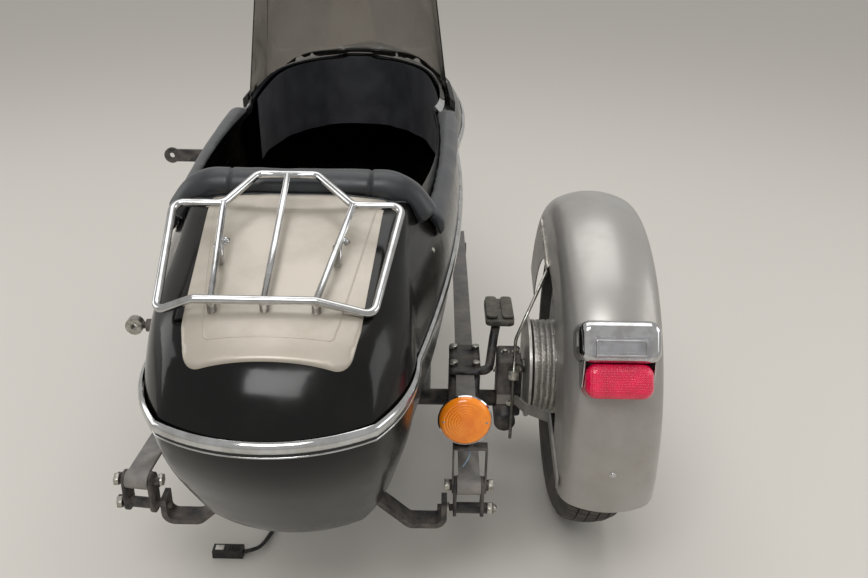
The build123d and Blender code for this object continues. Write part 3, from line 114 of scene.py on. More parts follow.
# Sprayed gloss enamel on steel: deep black with a clear top, faint ripple and a film of workshop dust
body_black = finish(
    "sprayed_gloss_black_enamel", "060606", "181613", 260, 0.13, 0.34, 14, 0.010,
    Coat_Weight=0.10, Coat_Roughness=0.06, Specular_IOR_Level=0.24,
)
# Pale silver paint: nearly matt metal flake. The warm beige tint in its colour is a painted reflection of
# warm light
panel_silver = finish(
    "silver_paint_with_painted_warm_reflection", "B1A99D", "A0988B", 140, 0.34, 0.48, 1.4, 0.004,
    Metallic=0.35, Coat_Weight=0.2, Coat_Roughness=0.12,
)
# Metallic silver paint on pressed steel: broad soft highlights from fine flake
fender_silver = finish(
    "metallic_silver_paint", "A9A6A2", "97928C", 190, 0.34, 0.46, 1.1, 0.003,
    Metallic=0.58, Coat_Weight=0.25, Coat_Roughness=0.10,
)
# Brushed-on satin black on tube and bar: worn, with grey dust lying in patches
frame_black = finish(
    "dusty_satin_black_paint", "282627", "6B645D", 34, 0.42, 0.78, 1.6, 0.05,
)
# Dusted spring leaves and stay: paint worn thin, so that pale grey shows in soft patches
worn_spring = finish(
    "worn_grey_spring_steel", "6A6866", "938D86", 60, 0.46, 0.74, 1.6, 0.05,
)
# Polished chrome plate: mirror bright with slight haze and pitting
bright_chrome = finish(
    "polished_chrome_plate", "C9CACB", "A9A8A5", 30, 0.05, 0.20, 5, 0.006, Metallic=1.0,
)
# Zinc plate on small bolts and nuts: pale grey metal with a soft sheen
zinc_steel = finish(
    "zinc_plated_steel", "B7B5AE", "857F74", 9, 0.26, 0.55, 0.8, 0.02, Metallic=1.0,
)
# Sand-cast aluminium: dull light grey with a grainy skin
cast_alloy = finish(
    "cast_aluminium", "C6C3BE", "A8A49C", 26, 0.36, 0.52, 1.3, 0.05, Metallic=0.85,
)
# Smoked acrylic sheet: warm grey, clear enough to show what stands behind it
smoked_screen = finish(
    "smoked_acrylic_sheet", "A3A09B", "97938D", 220, 0.03, 0.12, 60, 0.01,
    IOR=1.49, Transmission_Weight=1.0,
)
# Moulded red acrylic: bright and deep, with a grid of small prisms
red_lens = finish(
    "moulded_red_acrylic", "E80F4A", "C00A38", 30, 0.08, 0.14, 9, 0.02,
    IOR=1.49, Coat_Weight=0.6, Coat_Roughness=0.04,
)
# Moulded amber acrylic: warm orange with turned rings
amber_lens = finish(
    "moulded_amber_acrylic", "FF941C", "F07C12", 24, 0.10, 0.18, 7, 0.02,
    IOR=1.49, Coat_Weight=0.5, Coat_Roughness=0.05,
)
# Coated vinyl cloth: blue-grey black with a pebbled grain and a soft sheen
black_vinyl = finish(
    "grained_black_vinyl", "1E2023", "303337", 70, 0.36, 0.50, 1.5, 0.08, Sheen_Weight=0.12,
)
# Thin slack vinyl: dark blue-grey with a dull face. Its colour is painted lighter than the vinyl's own, as
# painted light on the cockpit's shaded inside
cover_vinyl_painted_lighter = finish(
    "slack_black_vinyl_painted_lighter", "2A2C31", "393B41", 60, 0.50, 0.66, 1.3, 0.05, Sheen_Weight=0.05,
)
# Worn step rubber: grey with ground-in dust
worn_rubber = finish(
    "worn_grey_rubber", "55524B", "7A756C", 16, 0.62, 0.85, 1.1, 0.06,
)
# Clear acrylic over bright plate: a sparkling strip of small prisms
clear_window = finish(
    "clear_prismatic_acrylic", "F2F1F5", "E4E3EA", 20, 0.03, 0.08, 3, 0.05,
    IOR=1.49, Transmission_Weight=1.0,
)
# Moulded black rubber: matt with a slight bloom
black_rubber = finish(
    "moulded_black_rubber", "131313", "2C2A28", 18, 0.55, 0.80, 1.0, 0.04,
)
# Tyre rubber: matt dark grey with road dust
wheel_tyre = finish(
    "tyre_rubber", "2A2826", "59534D", 60, 0.68, 0.92, 1.6, 0.06,
)
# Varnished birch plywood: pale brown boards
board_wood = finish(
    "varnished_birch_plywood", "A8825A", "8A6843", 55, 0.35, 0.55, 2.2, 0.03,
)
# Moulded natural nylon: milky white
white_nylon = finish(
    "moulded_white_nylon", "DAD7CF", "B9B4A8", 9, 0.35, 0.5, 1.0, 0.02,
)
# Coloured sleeve of the thin lamp wire: pale blue
blue_sleeve = finish(
    "pale_blue_sleeve", "8FA6BD", "7488A0", 8, 0.35, 0.5, 1.0, 0.01,
)
# Extruded black sleeve on the lead: smooth and slightly dusty
lead_sleeve = finish(
    "extruded_black_sleeve", "151515", "3A3733", 12, 0.42, 0.66, 1.2, 0.02,
)
# Moulded black nylon of the plug: dull black with a little dust
plug_plastic = finish(
    "moulded_black_nylon", "1B1B1C", "37342F", 10, 0.40, 0.62, 0.9, 0.03,
)


# A wave texture at a scale of 1 repeats every tenth part of pi metres.
WAVE_PERIOD = 100 * pi


def prism_grid(material, size, depth, tilt):
    """Gives a lens a grid of small prisms in place of its grain, on a face leaning back by tilt."""
    place = add(material, "TexCoord", {}).outputs["Object"]
    face = add(material, "Mapping", {"Vector": place, "Rotation": (radians(tilt), 0, 0)}).outputs[0]
    waves = [
        add(material, "TexWave", {"Vector": face, "Scale": WAVE_PERIOD / size}, bands_direction=axis)
        for axis in ("X", "Z")
    ]
    height = add(
        material, "Math", {0: waves[0].outputs["Fac"], 1: waves[1].outputs["Fac"]}, operation="MULTIPLY"
    ).outputs[0]
    bump = material.node_tree.nodes["Bump"]
    material.node_tree.links.new(height, bump.inputs["Height"])
    bump.inputs["Distance"].default_value = depth / 1000


# The tail lamp's face leans back by this angle.
LAMP_TILT = 31.0
prism_grid(red_lens, 4.2, 0.7, LAMP_TILT)
prism_grid(clear_window, 3.6, 0.6, LAMP_TILT)


# Pieces


def shade(mesh, angle):
    """Smooth shading with edges sharper than the angle kept."""
    mesh.shade_smooth()
    mesh.set_sharp_from_angle(angle=radians(angle))


def piece(name, bm, material, body="chassis", nodes=(), angle=35):
    """A new piece of the object from a bmesh, with its finish, on its body."""
    mesh = bpy.data.meshes.new(name)
    bm.to_mesh(mesh)
    bm.free()
    mesh.materials.append(material)
    shade(mesh, angle)
    obj = bpy.data.objects.new(name, mesh)
    bpy.context.scene.collection.objects.link(obj)
    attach(obj, body)
    if nodes:
        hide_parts(*nodes)
    return obj


# Vertices nearer than this, in metres, are one.
SAME_PLACE = 1e-6


def merged_copy(node):
    """A bmesh of a CAD node's solid with its doubles merged."""
    bm = bmesh.new()
    bm.from_mesh(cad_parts[node].data)
    bmesh.ops.remove_doubles(bm, verts=bm.verts, dist=SAME_PLACE)
    return bm


def tree_of(node):
    """A search tree of a CAD node's surface."""
    return BVHTree.FromPolygons(
        [v.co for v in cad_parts[node].data.vertices],
        [p.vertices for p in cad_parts[node].data.polygons],
    )


def seated(tree, station):
    """A matrix whose origin is the surface's nearest point to a station, with Z along its normal."""
    place, normal, _, _ = tree.find_nearest(at(*station))
    return Matrix.Translation(place) @ normal.to_track_quat("Z", "Y").to_matrix().to_4x4()


def facing(station, direction):
    """A matrix at a station with Z along a direction."""
    turn = Vector(direction).to_track_quat("Z", "Y").to_matrix().to_4x4()
    return Matrix.Translation(at(*station)) @ turn


def arc_points(start, end, bulge, steps):
    """Points of an arc that stands out to the right of its chord by a share of it, without its end."""
    start, chord = Vector(start), Vector(end) - Vector(start)
    out, half_turn = Vector((chord.y, -chord.x)), 2 * atan2(2 * bulge, 1)
    points = []
    for step in range(steps):
        turn = half_turn * (2 * step / steps - 1)
        along = (1 + sin(turn) / sin(half_turn)) / 2
        points.append(start + chord * along + out * (cos(turn) - cos(half_turn)) / sin(half_turn) / 2)
    return points


# The arcs of a plan outline as in the part's source
SIDE_BULGES = [0.085, 0.033, 0.07, 0.06]
TAIL_GROWTH, NOSE_GROWTH = 0.5, 0.3


def plan_points(row, grow, steps):
    """The closed plan outline of a row of stations, grown all round, against the clock from above."""
    tail_x, tail_y, hip_x, hip_y, beam_x, beam_y, bow_x, bow_y, nose_x, nose_y, tail_bow, nose_bow = row
    right = [
        (tail_x + grow * TAIL_GROWTH, tail_y - grow), (hip_x + grow, hip_y), (beam_x + grow, beam_y),
        (bow_x + grow, bow_y), (nose_x + grow * NOSE_GROWTH, nose_y + grow),
    ]
    corners = right + [(-x, y) for x, y in reversed(right)]
    bulges = SIDE_BULGES + [nose_bow] + SIDE_BULGES[::-1] + [tail_bow]
    return [
        point for index, bulge in enumerate(bulges)
        for point in arc_points(corners[index], corners[(index + 1) % len(corners)], bulge, steps)
    ]


def rounded_line(points, bend, steps=8, closed=False):
    """A line of points with an arc in place of each corner."""
    points = [Vector(point) for point in points]
    line = []
    for index, point in enumerate(points):
        if not closed and index in (0, len(points) - 1):
            line.append(point)
            continue
        back = (points[index - 1] - point).normalized()
        ahead = (points[(index + 1) % len(points)] - point).normalized()
        half = back.angle(ahead) / 2
        middle = point + (back + ahead).normalized() * bend / sin(half)
        first, last = point + back * bend / tan(half) - middle, point + ahead * bend / tan(half) - middle
        line += [middle + first.slerp(last, step / steps) for step in range(steps + 1)]
    return line


def evenly(points, spacing):
    """Points at about this spacing along a line, ends kept."""
    lengths = [0.0]
    for start, end in zip(points, points[1:]):
        lengths.append(lengths[-1] + (end - start).length)
    count = max(2, round(lengths[-1] / spacing))
    line, index = [], 0
    for step in range(count + 1):
        target = lengths[-1] * step / count
        while index < len(points) - 2 and lengths[index + 1] < target:
            index += 1
        span = lengths[index + 1] - lengths[index]
        line.append(points[index].lerp(points[index + 1], (target - lengths[index]) / span))
    return line


def swept(path, section, up, closed=False):
    """A bmesh of a section, millimetres to the right of the way and upward, carried along a path."""
    bm = bmesh.new()
    count, stands = len(path), []
    for index, point in enumerate(path):
        ahead = path[(index + 1) % count] if closed or index < count - 1 else point
        behind = path[index - 1] if closed or index else point
        along = (ahead - behind).normalized()
        side = along.cross(up).normalized()
        turn = Matrix((side, side.cross(along), -along)).transposed().to_4x4()
        stands.append(Matrix.Translation(point) @ turn)
    ring = [bm.verts.new(stands[0] @ Vector((right / 1000, rise / 1000, 0))) for right, rise in section]
    edges = [bm.edges.new((ring[index - 1], ring[index])) for index in range(len(ring))]
    for before, after in zip(stands, stands[1:] + stands[:1] if closed else stands[1:]):
        made = bmesh.ops.extrude_edge_only(bm, edges=edges)["geom"]
        moved = {item for item in made if isinstance(item, bmesh.types.BMVert)}
        bmesh.ops.transform(bm, matrix=after @ before.inverted(), verts=list(moved))
        edges = [
            item for item in made if isinstance(item, bmesh.types.BMEdge) and set(item.verts) <= moved
        ]
    if closed:
        bmesh.ops.remove_doubles(bm, verts=bm.verts, dist=10 * SAME_PLACE)
    else:
        bmesh.ops.holes_fill(bm, edges=[edge for edge in bm.edges if edge.is_boundary], sides=0)
    bmesh.ops.recalc_face_normals(bm, faces=bm.faces)
    return bm


def circle(radius, steps):
    """A round section."""
    return [(radius * cos(tau * step / steps), radius * sin(tau * step / steps)) for step in range(steps)]


def turned(profile, place, steps=32):
    """A bmesh of a profile, millimetres of radius and height, turned about the Z axis of a matrix."""
    bm = bmesh.new()
    verts = [bm.verts.new((radius / 1000, 0, height / 1000)) for radius, height in profile]
    edges = [bm.edges.new(pair) for pair in zip(verts, verts[1:])]
    bmesh.ops.spin(
        bm, geom=verts + edges, axis=(0, 0, 1), cent=(0, 0, 0), angle=tau, steps=steps, use_merge=True,
    )
    bmesh.ops.remove_doubles(bm, verts=bm.verts, dist=SAME_PLACE)
    bmesh.ops.recalc_face_normals(bm, faces=bm.faces)
    bmesh.ops.transform(bm, matrix=place, verts=bm.verts)
    return bm


def joined(parts):
    """One bmesh of several, which are freed."""
    whole = bmesh.new()
    for part in parts:
        mesh = bpy.data.meshes.new("part")
        part.to_mesh(mesh)
        part.free()
        whole.from_mesh(mesh)
        bpy.data.meshes.remove(mesh)
    return whole


def bevelled(bm, edges, offset, segments):
    """Eases edges of a bmesh by an offset in millimetres."""
    bmesh.ops.bevel(
        bm, geom=edges, offset=offset / 1000, offset_type="OFFSET", affect="EDGES", segments=segments,
        profile=0.5, material=-1,
    )


def slab(bm, place, size):
    """Adds a block of a size in millimetres, centred on a matrix."""
    scale = Matrix.Diagonal((*[side / 1000 for side in size], 1))
    bmesh.ops.create_cube(bm, size=1.0, matrix=place @ scale)


def upright_edges(bm):
    """The edges of slabs that run through their thickness, along Z."""
    return [edge for edge in bm.edges if abs((edge.verts[0].co - edge.verts[1].co).z) > 0.001]


def grid(columns, rows, place_at):
    """A sheet of faces whose corners stand where place_at puts each column and row."""
    bm = bmesh.new()
    bmesh.ops.create_grid(bm, x_segments=columns, y_segments=rows, size=0.5)
    for vert in bm.verts:
        vert.co = place_at(round((vert.co.x + 0.5) * columns), round((vert.co.y + 0.5) * rows))
    bmesh.ops.recalc_face_normals(bm, faces=bm.faces)
    return bm


# A dome's washer: its thickness, and its radius as a share of the dome's
DOME_WASHER, DOME_WASHER_SHARE = 0.8, 1.25


def dome(place, radius, height):
    """A domed bolt head or snap on a thin washer."""
    crown_height, edge = height - DOME_WASHER, DOME_WASHER_SHARE * radius
    rise = [
        (radius * cos(radians(angle)), DOME_WASHER + crown_height * sin(radians(angle)))
        for angle in range(0, 90, 15)
    ]
    return turned([(0, 0), (edge, 0), (edge, DOME_WASHER), *rise, (0, height)], place, 24)


# A hexagon's eased edge and its washer's foot and top, as shares of its radius
HEXAGON_EASE, WASHER_FOOT, WASHER_TOP = 1 / 9, 1.45, 1.4


def hexagon(place, radius, height, washer=0.0):
    """A six-sided bolt head or nut with eased corners, on its washer."""
    bm = bmesh.new()
    bmesh.ops.create_cone(
        bm, cap_ends=True, segments=6, radius1=radius / 1000, radius2=radius / 1000, depth=height / 1000,
        matrix=Matrix.Translation((0, 0, (washer + height / 2) / 1000)),
    )
    bevelled(bm, bm.edges[:], radius * HEXAGON_EASE, 2)
    if washer:
        bmesh.ops.create_cone(
            bm, cap_ends=True, segments=28, radius1=WASHER_FOOT * radius / 1000,
            radius2=WASHER_TOP * radius / 1000, depth=washer / 1000,
            matrix=Matrix.Translation((0, 0, washer / 2000)),
        )
    bmesh.ops.transform(bm, matrix=place, verts=bm.verts)
    return bm


# CAD nodes that are shown as smooth copies. Columns: node, finish, slot, body and shading angle.
COPIES = [
    ("deck_upper", body_black, "body_black", "chassis", 40),
    ("hull_lower", body_black, "body_black", "chassis", 40),
    ("deck_panel", panel_silver, "panel_silver", "chassis", 40),
    ("cockpit_rim", bright_chrome, "bright_chrome", "chassis", 30),
    ("windshield", smoked_screen, "smoked_screen", "chassis", 40),
    ("windshield_lip", black_rubber, "black_rubber", "chassis", 30),
    ("seat_board", board_wood, "board_wood", "chassis", 30),
    ("floor_board", board_wood, "board_wood", "chassis", 30),
    ("seat_back_board", board_wood, "board_wood", "seat_back", 30),
    ("boot_bulkhead", frame_black, "frame_black", "chassis", 30),
    ("luggage_rack", bright_chrome, "bright_chrome", "chassis", 35),
    ("chassis_frame", frame_black, "frame_black", "chassis", 35),
    ("rear_rod_eye", zinc_steel, "zinc_steel", "chassis", 35),
    ("front_rod_eye", zinc_steel, "zinc_steel", "chassis", 35),
    ("upper_mount_arm", frame_black, "frame_black", "chassis", 35),
    ("leaf_spring_left", worn_spring, "frame_black", "chassis", 35),
    ("leaf_spring_right", worn_spring, "frame_black", "chassis", 35),
    ("spring_clamp_left", frame_black, "frame_black", "chassis", 35),
    ("spring_clamp_right", frame_black, "frame_black", "chassis", 35),
    ("shackle_left", frame_black, "frame_black", "chassis", 35),
    ("shackle_right", frame_black, "frame_black", "chassis", 35),
    ("hanger_rear", frame_black, "frame_black", "chassis", 35),
    ("hanger_front", frame_black, "frame_black", "chassis", 35),
    ("step_arm", frame_black, "frame_black", "chassis", 35),
    ("axle_block", frame_black, "frame_black", "chassis", 35),
    ("wheel_axle", zinc_steel, "zinc_steel", "chassis", 35),
    ("brake_plate", cast_alloy, "cast_alloy", "chassis", 35),
    ("wheel_hub", cast_alloy, "cast_alloy", "wheel", 35),
    ("wheel_rim", bright_chrome, "bright_chrome", "wheel", 35),
    ("fender", fender_silver, "fender_silver", "chassis", 40),
    ("fender_stay_front", zinc_steel, "zinc_steel", "chassis", 35),
    ("fender_stay_rear", worn_spring, "frame_black", "chassis", 35),
    ("tail_lamp_hood", bright_chrome, "bright_chrome", "chassis", 35),
    ("tail_lamp_lens", red_lens, "red_lens", "chassis", 35),
    ("indicator_bowl", bright_chrome, "bright_chrome", "chassis", 35),
    ("indicator_bracket", frame_black, "frame_black", "chassis", 35),
    ("harness_plug", plug_plastic, "plug_plastic", "chassis", 35),
]
for node, material, slot, body, angle in COPIES:
    piece(f"{node}_skin", merged_copy(node), material, body, [node], angle)

# Belt moulding: a chrome half-round, a dark channel and a thin bright bead below it, on a tilted plane
BELT_ROW = (148, -668, 201, -500, 270, 500, 200, 1250, 60, 1530, 0.149, 0.33)
BELT_Z, BELT_TILT = 631.0, radians(2.7)
belt_path = [
    at(x, y * cos(BELT_TILT), BELT_Z + y * sin(BELT_TILT)) for x, y in plan_points(BELT_ROW, 0.0, 16)
]
belt_up = Vector((0, -sin(BELT_TILT), cos(BELT_TILT)))
# Columns: name, finish, slot, and section to the right and upward.
BELT_RUNS = [
    ("belt_half_round", bright_chrome, "bright_chrome",
     [(1, -4), (5.0, -4), (6.9, -2.8), (8, 0.2), (8, 4.2), (7.1, 8.0), (5.0, 11.2), (1, 13)]),
    ("belt_dark_channel", black_rubber, "black_rubber", [(1, -10), (3.5, -10), (3.5, -4), (1, -4)]),
    ("belt_low_bead", bright_chrome, "bright_chrome",
     [(1, -13), (3.4, -13), (4.5, -12.2), (4.5, -10.8), (3.6, -10), (1, -10)]),
]
for name, material, slot, section in BELT_RUNS:
    nodes = ["belt_moulding"] if name == "belt_half_round" else []
    piece(name, swept(belt_path, section, belt_up, closed=True), material, nodes=nodes, angle=50)

# A pressed line runs just inside the silver panel's edge.
panel_tree, deck_tree = tree_of("deck_panel"), tree_of("deck_upper")
SKY_Z = 1200


def dropped(trees, x, y, lift=0.0):
    """The point where a plumb line meets the first of these surfaces, lifted by millimetres."""
    for tree in trees:
        place, _, _, _ = tree.ray_cast(at(x, y, SKY_Z), Vector((0, 0, -1)))
        if place:
            return place + Vector((0, 0, lift / 1000))
    return None


PANEL_LINE = [(133, -300), (116.5, -582), (104, -630), (-104, -630), (-116.5, -582), (-133, -300)]
panel_plan = evenly(rounded_line([(x, y, 0) for x, y in PANEL_LINE], 22), 7)
panel_path = [dropped([panel_tree], point.x, point.y) for point in panel_plan]
panel_path = [point for point in panel_path if point]
PANEL_BEAD = [(-1.6, -0.5), (-1.1, 0.45), (0, 0.8), (1.1, 0.45), (1.6, -0.5)]
PANEL_UP = Vector((0, -0.4, 0.92))
panel_line = swept(panel_path, PANEL_BEAD, PANEL_UP)
piece("panel_pressed_line", panel_line, panel_silver)

# The panel's front edge runs on under the seat roll, with a bolt through it.
PANEL_FRONT_HALF, PANEL_LIFT = 142.0, 2.5
STRIP_ROWS = (-306.5, -300.0, -294.0, -288.0, -282.0, -276.0)
STRIP_COLUMNS, STRIP_FLARE, STRIP_THICK = 48, 0.06, 2.1


def strip_place(column, row):
    """A point of the panel's front edge, which lies on the deck and widens ahead."""
    y = STRIP_ROWS[row]
    half = PANEL_FRONT_HALF + (y - STRIP_ROWS[0]) * STRIP_FLARE
    return dropped([deck_tree], half * (2 * column / STRIP_COLUMNS - 1), y, PANEL_LIFT)


strip = grid(STRIP_COLUMNS, len(STRIP_ROWS) - 1, strip_place)
bmesh.ops.solidify(strip, geom=strip.faces[:], thickness=STRIP_THICK / 1000)
piece("panel_front_edge", strip, panel_silver, angle=40)

# Padded vinyl. Each piece starts from its CAD solid, remeshed and eased, with its seams drawn in.


def eased(node, voxel, rounds):
    """A bmesh of a CAD solid as padding: an even skin of this size in millimetres with soft edges."""
    raw = bpy.data.meshes.new("raw_padding")
    bm = merged_copy(node)
    bm.to_mesh(raw)
    bm.free()
    holder = bpy.data.objects.new("raw_padding", raw)
    bpy.context.scene.collection.objects.link(holder)
    remesh = holder.modifiers.new("even_skin", "REMESH")
    remesh.mode, remesh.voxel_size = "VOXEL", voxel / 1000
    bpy.context.view_layer.update()
    mesh = bpy.data.meshes.new_from_object(holder.evaluated_get(bpy.context.evaluated_depsgraph_get()))
    bm = bmesh.new()
    bm.from_mesh(mesh)
    bpy.data.objects.remove(holder)
    bpy.data.meshes.remove(raw)
    bpy.data.meshes.remove(mesh)
    for _ in range(rounds):
        bmesh.ops.smooth_vert(
            bm, verts=bm.verts, factor=0.5, use_axis_x=True, use_axis_y=True, use_axis_z=True,
        )
    bm.normal_update()
    return bm


def pressed_in(bm, depth_at):
    """Moves each vertex against its normal by the millimetres that depth_at gives for its station."""
    moves = []
    for vert in bm.verts:
        x, y, z = [1000 * c + e for c, e in zip(vert.co, EYE_STATION)]
        moves.append((vert, vert.normal * depth_at(x, y, z, vert.normal) / 1000))
    for vert, move in moves:
        vert.co -= move
    bm.normal_update()


def groove(distance, width, depth):
    """The depth of a rounded groove at a distance from its line."""
    return depth * exp(-((distance / width) ** 2))


def creases(x, y, z, size, depth):
    """A slack cover's uneven swell at a station."""
    return depth * noise.noise(Vector((x, y, z)) / size)


def padding(name, bm, nodes, body="chassis"):
    """A piece of vinyl padding."""
    obj = piece(name, bm, black_vinyl, body, nodes, 60)
    return obj


ROLL_SEAM_X, ROLL_Y, ROLL_RADIUS = 117.0, -246.0, 31.0
REAR_SEAM_Z, ROLL_SHOULDER, REAR_SEAM_FALL = 802.0, 150.0, 0.9


def roll_depth(x, y, z, normal):
    """Seams across the roll, a seam along its rear that falls at the ends, and slack in the cover."""
    across = groove(abs(x) - ROLL_SEAM_X, 2.4, 2.6)
    seam_z = REAR_SEAM_Z - max(0.0, abs(x) - ROLL_SHOULDER) * REAR_SEAM_FALL
    along = groove(z - seam_z, 2.2, 1.2) if normal.y < -0.3 else 0.0
    return across + along + creases(x, y, z, 60, 1.6) + creases(x, y, z, 24, 0.5)


roll = eased("seat_roll", 3.0, 14)
pressed_in(roll, roll_depth)
padding("seat_roll_cover", roll, ["seat_roll"])

# Piping closes the roll's cover along the deck.
PIPING_HALF, PIPING_STEP, PIPING_GAP, PIPING_RADIUS, PIPING_LIFT = 178, 6, 1.5, 2.3, 1.6
PIPING_BOW, PIPING_BOW_X = 4.0, 160.0
piping_plan = [
    (x, ROLL_Y - ROLL_RADIUS - PIPING_GAP + PIPING_BOW * (x / PIPING_BOW_X) ** 2)
    for x in range(-PIPING_HALF, PIPING_HALF + 1, PIPING_STEP)
]
piping_path = [dropped([panel_tree, deck_tree], x, y, PIPING_LIFT) for x, y in piping_plan]
piping = swept(piping_path, circle(PIPING_RADIUS, 12), Vector((0, 0, 1)))
piece("seat_roll_piping", piping, black_vinyl, angle=60)


# The armrests' rear ends, their seam's height there and its rise ahead, and the gathers round the end
PAD_REAR_X, PAD_REAR_Y, PAD_REAR_Z = 214.0, -226.0, 728.0
PAD_SEAM_Z, PAD_SEAM_RISE = 731.0, 0.021
GATHER_DEPTH, GATHER_REACH, GATHER_COUNT = 0.5, 16.0, 9


def armrest_depth(side):
    """The depths of an armrest's cover, for one side of the body."""
    def depth(x, y, z, normal):
        """A seam along the pad's inner side, gathers at its rear end, and slack in the cover."""
        ahead = y - PAD_REAR_Y
        inner = side * normal.x < -0.4
        seam = groove(z - PAD_SEAM_Z - ahead * PAD_SEAM_RISE, 2.0, 1.4) if inner else 0.0
        turn = atan2(z - PAD_REAR_Z, x - side * PAD_REAR_X)
        gather = GATHER_DEPTH * exp(-max(0.0, ahead) / GATHER_REACH) * sin(GATHER_COUNT * turn)
        return seam + gather + creases(x, y, z, 60, 1.2)
    return depth


for side, word in [(1, "right"), (-1, "left")]:
    pad = eased(f"armrest_{word}", 3.2, 26)
    pressed_in(pad, armrest_depth(side))
    padding(f"armrest_{word}_cover", pad, [f"armrest_{word}"])

# Seat cushion and folding back with stitched channels
CUSHION_SEAMS, CUSHION_HALF, CUSHION_FADE, SIDE_SEAM_Z = [-34.0, 46.0, 126.0, 206.0], 178.0, 30.0, 470.0


def cushion_depth(x, y, z, normal):
    """Channels across the cushion's top that fade at its sides, a seam round its side, and slack."""
    if normal.z > 0.2:
        fade = min(1.0, (CUSHION_HALF - abs(x)) / CUSHION_FADE)
        return max(groove(y - seam, 6.0, 6.0) for seam in CUSHION_SEAMS) * fade + creases(x, y, z, 90, 2.0)
    return groove(z - SIDE_SEAM_Z, 3.0, 2.5) + creases(x, y, z, 60, 1.0)


cushion = eased("seat_cushion", 5.0, 10)
pressed_in(cushion, cushion_depth)
padding("seat_cushion_cover", cushion, ["seat_cushion"])

BACK_SEAMS, BACK_MIDDLE_Z, BACK_SEAM_REACH = [-102.0, -34.0, 34.0, 102.0], 620.0, 125.0


def back_depth(x, y, z, normal):
    """Upright channels on the back pad's face and slack in its cover."""
    channel = max(groove(x - seam, 6.0, 5.0) for seam in BACK_SEAMS) if normal.y > 0.3 else 0.0
    return channel * max(0.0, 1 - abs(z - BACK_MIDDLE_Z) / BACK_SEAM_REACH) + creases(x, y, z, 70, 1.5)


back = eased("seat_back_pad", 4.5, 9)
pressed_in(back, back_depth)
padding("seat_back_cover", back, ["seat_back_pad"], body="seat_back")

# A vinyl cover hangs in folds inside the cockpit's front edge.
COCKPIT_ROW = (174, -238, 193, -205, 216, 430, 196, 780, 96, 918, 0.01, 0.14)
APRON_REAR_Y, APRON_HEM_Z, APRON_INSET = 560.0, 602.0, 3.4
APRON_SPACING, APRON_STEPS, APRON_THICK = 6.0, 26, 1.2
# Where the deck's opening is felt for from above: out by a share, ahead, then down to the apron's top
RIM_SHARE, RIM_AHEAD, RIM_DROP, RIM_Z = 1.03, 6.0, 3.0, 770.0
# The sheet's stand-off at its top, its drift inward by the hem, and its folds' depth and unevenness
APRON_STAND, APRON_DRIFT, FOLD_DEPTH, FOLD_UNEVEN, FOLD_SIZE = 1.6, 2.2, 1.9, 1.4, 40.0
# The folds' turn in radians from one column to the next, and how far and how fast it wanders
FOLD_TURN, FOLD_WANDER, WANDER_TURN = 0.33, 1.2, 0.11
apron_plan = evenly(
    [Vector((x, y, 0)) for x, y in plan_points(COCKPIT_ROW, -APRON_INSET, 24) if y > APRON_REAR_Y],
    APRON_SPACING,
)
apron_middle = sum(apron_plan, Vector()) / len(apron_plan)


def apron_top(point):
    """The height of the sheet's upper edge at a point of its plan, just under the deck's opening."""
    top = dropped([deck_tree], point.x * RIM_SHARE, point.y + RIM_AHEAD)
    return 1000 * top.z + EYE_STATION[2] - RIM_DROP if top else RIM_Z


apron_tops = [apron_top(point) for point in apron_plan]


def apron_place(column, row):
    """A point of the hanging sheet, whose folds grow toward its hem."""
    point, share = apron_plan[column], row / APRON_STEPS
    wave = FOLD_DEPTH * sin(FOLD_TURN * column + FOLD_WANDER * sin(WANDER_TURN * column))
    fold = wave + FOLD_UNEVEN * noise.noise(point / FOLD_SIZE + Vector((0, 0, 3 * share)))
    inward = (apron_middle - point).normalized()
    place = point + inward * (APRON_STAND + share * (APRON_DRIFT + fold))
    return at(place.x, place.y, apron_tops[column] + (APRON_HEM_Z - apron_tops[column]) * share)


bm = grid(len(apron_plan) - 1, APRON_STEPS, apron_place)
apron_area = sum(face.calc_area() for face in bm.faces)
bmesh.ops.solidify(bm, geom=bm.faces[:], thickness=APRON_THICK / 1000)
# The apron's vinyl is painted lighter than its own colour, as painted light on the shaded inside of the
# cockpit.
apron = piece("cockpit_vinyl_apron", bm, cover_vinyl_painted_lighter, nodes=["cowl_apron"], angle=60)

# Tyre: a turned carcass whose tread strips are raised into blocks
TREAD_HALF, TREAD_BASE, TREAD_CAMBER, TREAD_EDGE = 53.0, 319.5, 12.5, 303.5
TREAD_ROWS, TREAD_STEPS, TREAD_INSET, TREAD_RISE = 5, 84, 2.2, 4.8
tyre_side = [
    (44, 205), (46.5, 217), (50.2, 224), (51.6, 225.4), (52.4, 228), (53.4, 231), (60, 247), (62.6, 256),
    (63.6, 257.4), (64.0, 259), (63.8, 260.4), (64.2, 268), (64.6, 277), (64.0, 279), (64.2, 283),
    (62.0, 293), (58.5, 301), (53, 307),
]
crown_places = [TREAD_HALF * (1 - 2 * step / TREAD_ROWS) for step in range(TREAD_ROWS + 1)]
crown = [(x, TREAD_BASE - TREAD_CAMBER * (abs(x) / TREAD_HALF) ** 2.6) for x in crown_places]
outline = tyre_side[:-1] + crown + [(-x, r) for x, r in tyre_side[-2::-1]]
bm = bmesh.new()
verts = [bm.verts.new((0, r / 1000, x / 1000)) for x, r in outline]
edges = [bm.edges.new(pair) for pair in zip(verts, verts[1:] + verts[:1])]
bmesh.ops.spin(
    bm, geom=verts + edges, axis=(0, 0, 1), cent=(0, 0, 0), angle=tau, steps=TREAD_STEPS, use_merge=True,
)
bmesh.ops.remove_doubles(bm, verts=bm.verts, dist=SAME_PLACE)
bmesh.ops.recalc_face_normals(bm, faces=bm.faces)
tread = []
for face in bm.faces:
    middle = face.calc_center_median()
    if middle.xy.length > TREAD_EDGE / 1000 and abs(middle.z) < TREAD_HALF / 1000:
        tread.append(face)
bmesh.ops.inset_individual(bm, faces=tread, thickness=TREAD_INSET / 1000, depth=0.0)
for face in tread:
    out = face.calc_center_median().xy.to_3d().normalized() * TREAD_RISE / 1000
    bmesh.ops.translate(bm, verts=face.verts, vec=out)
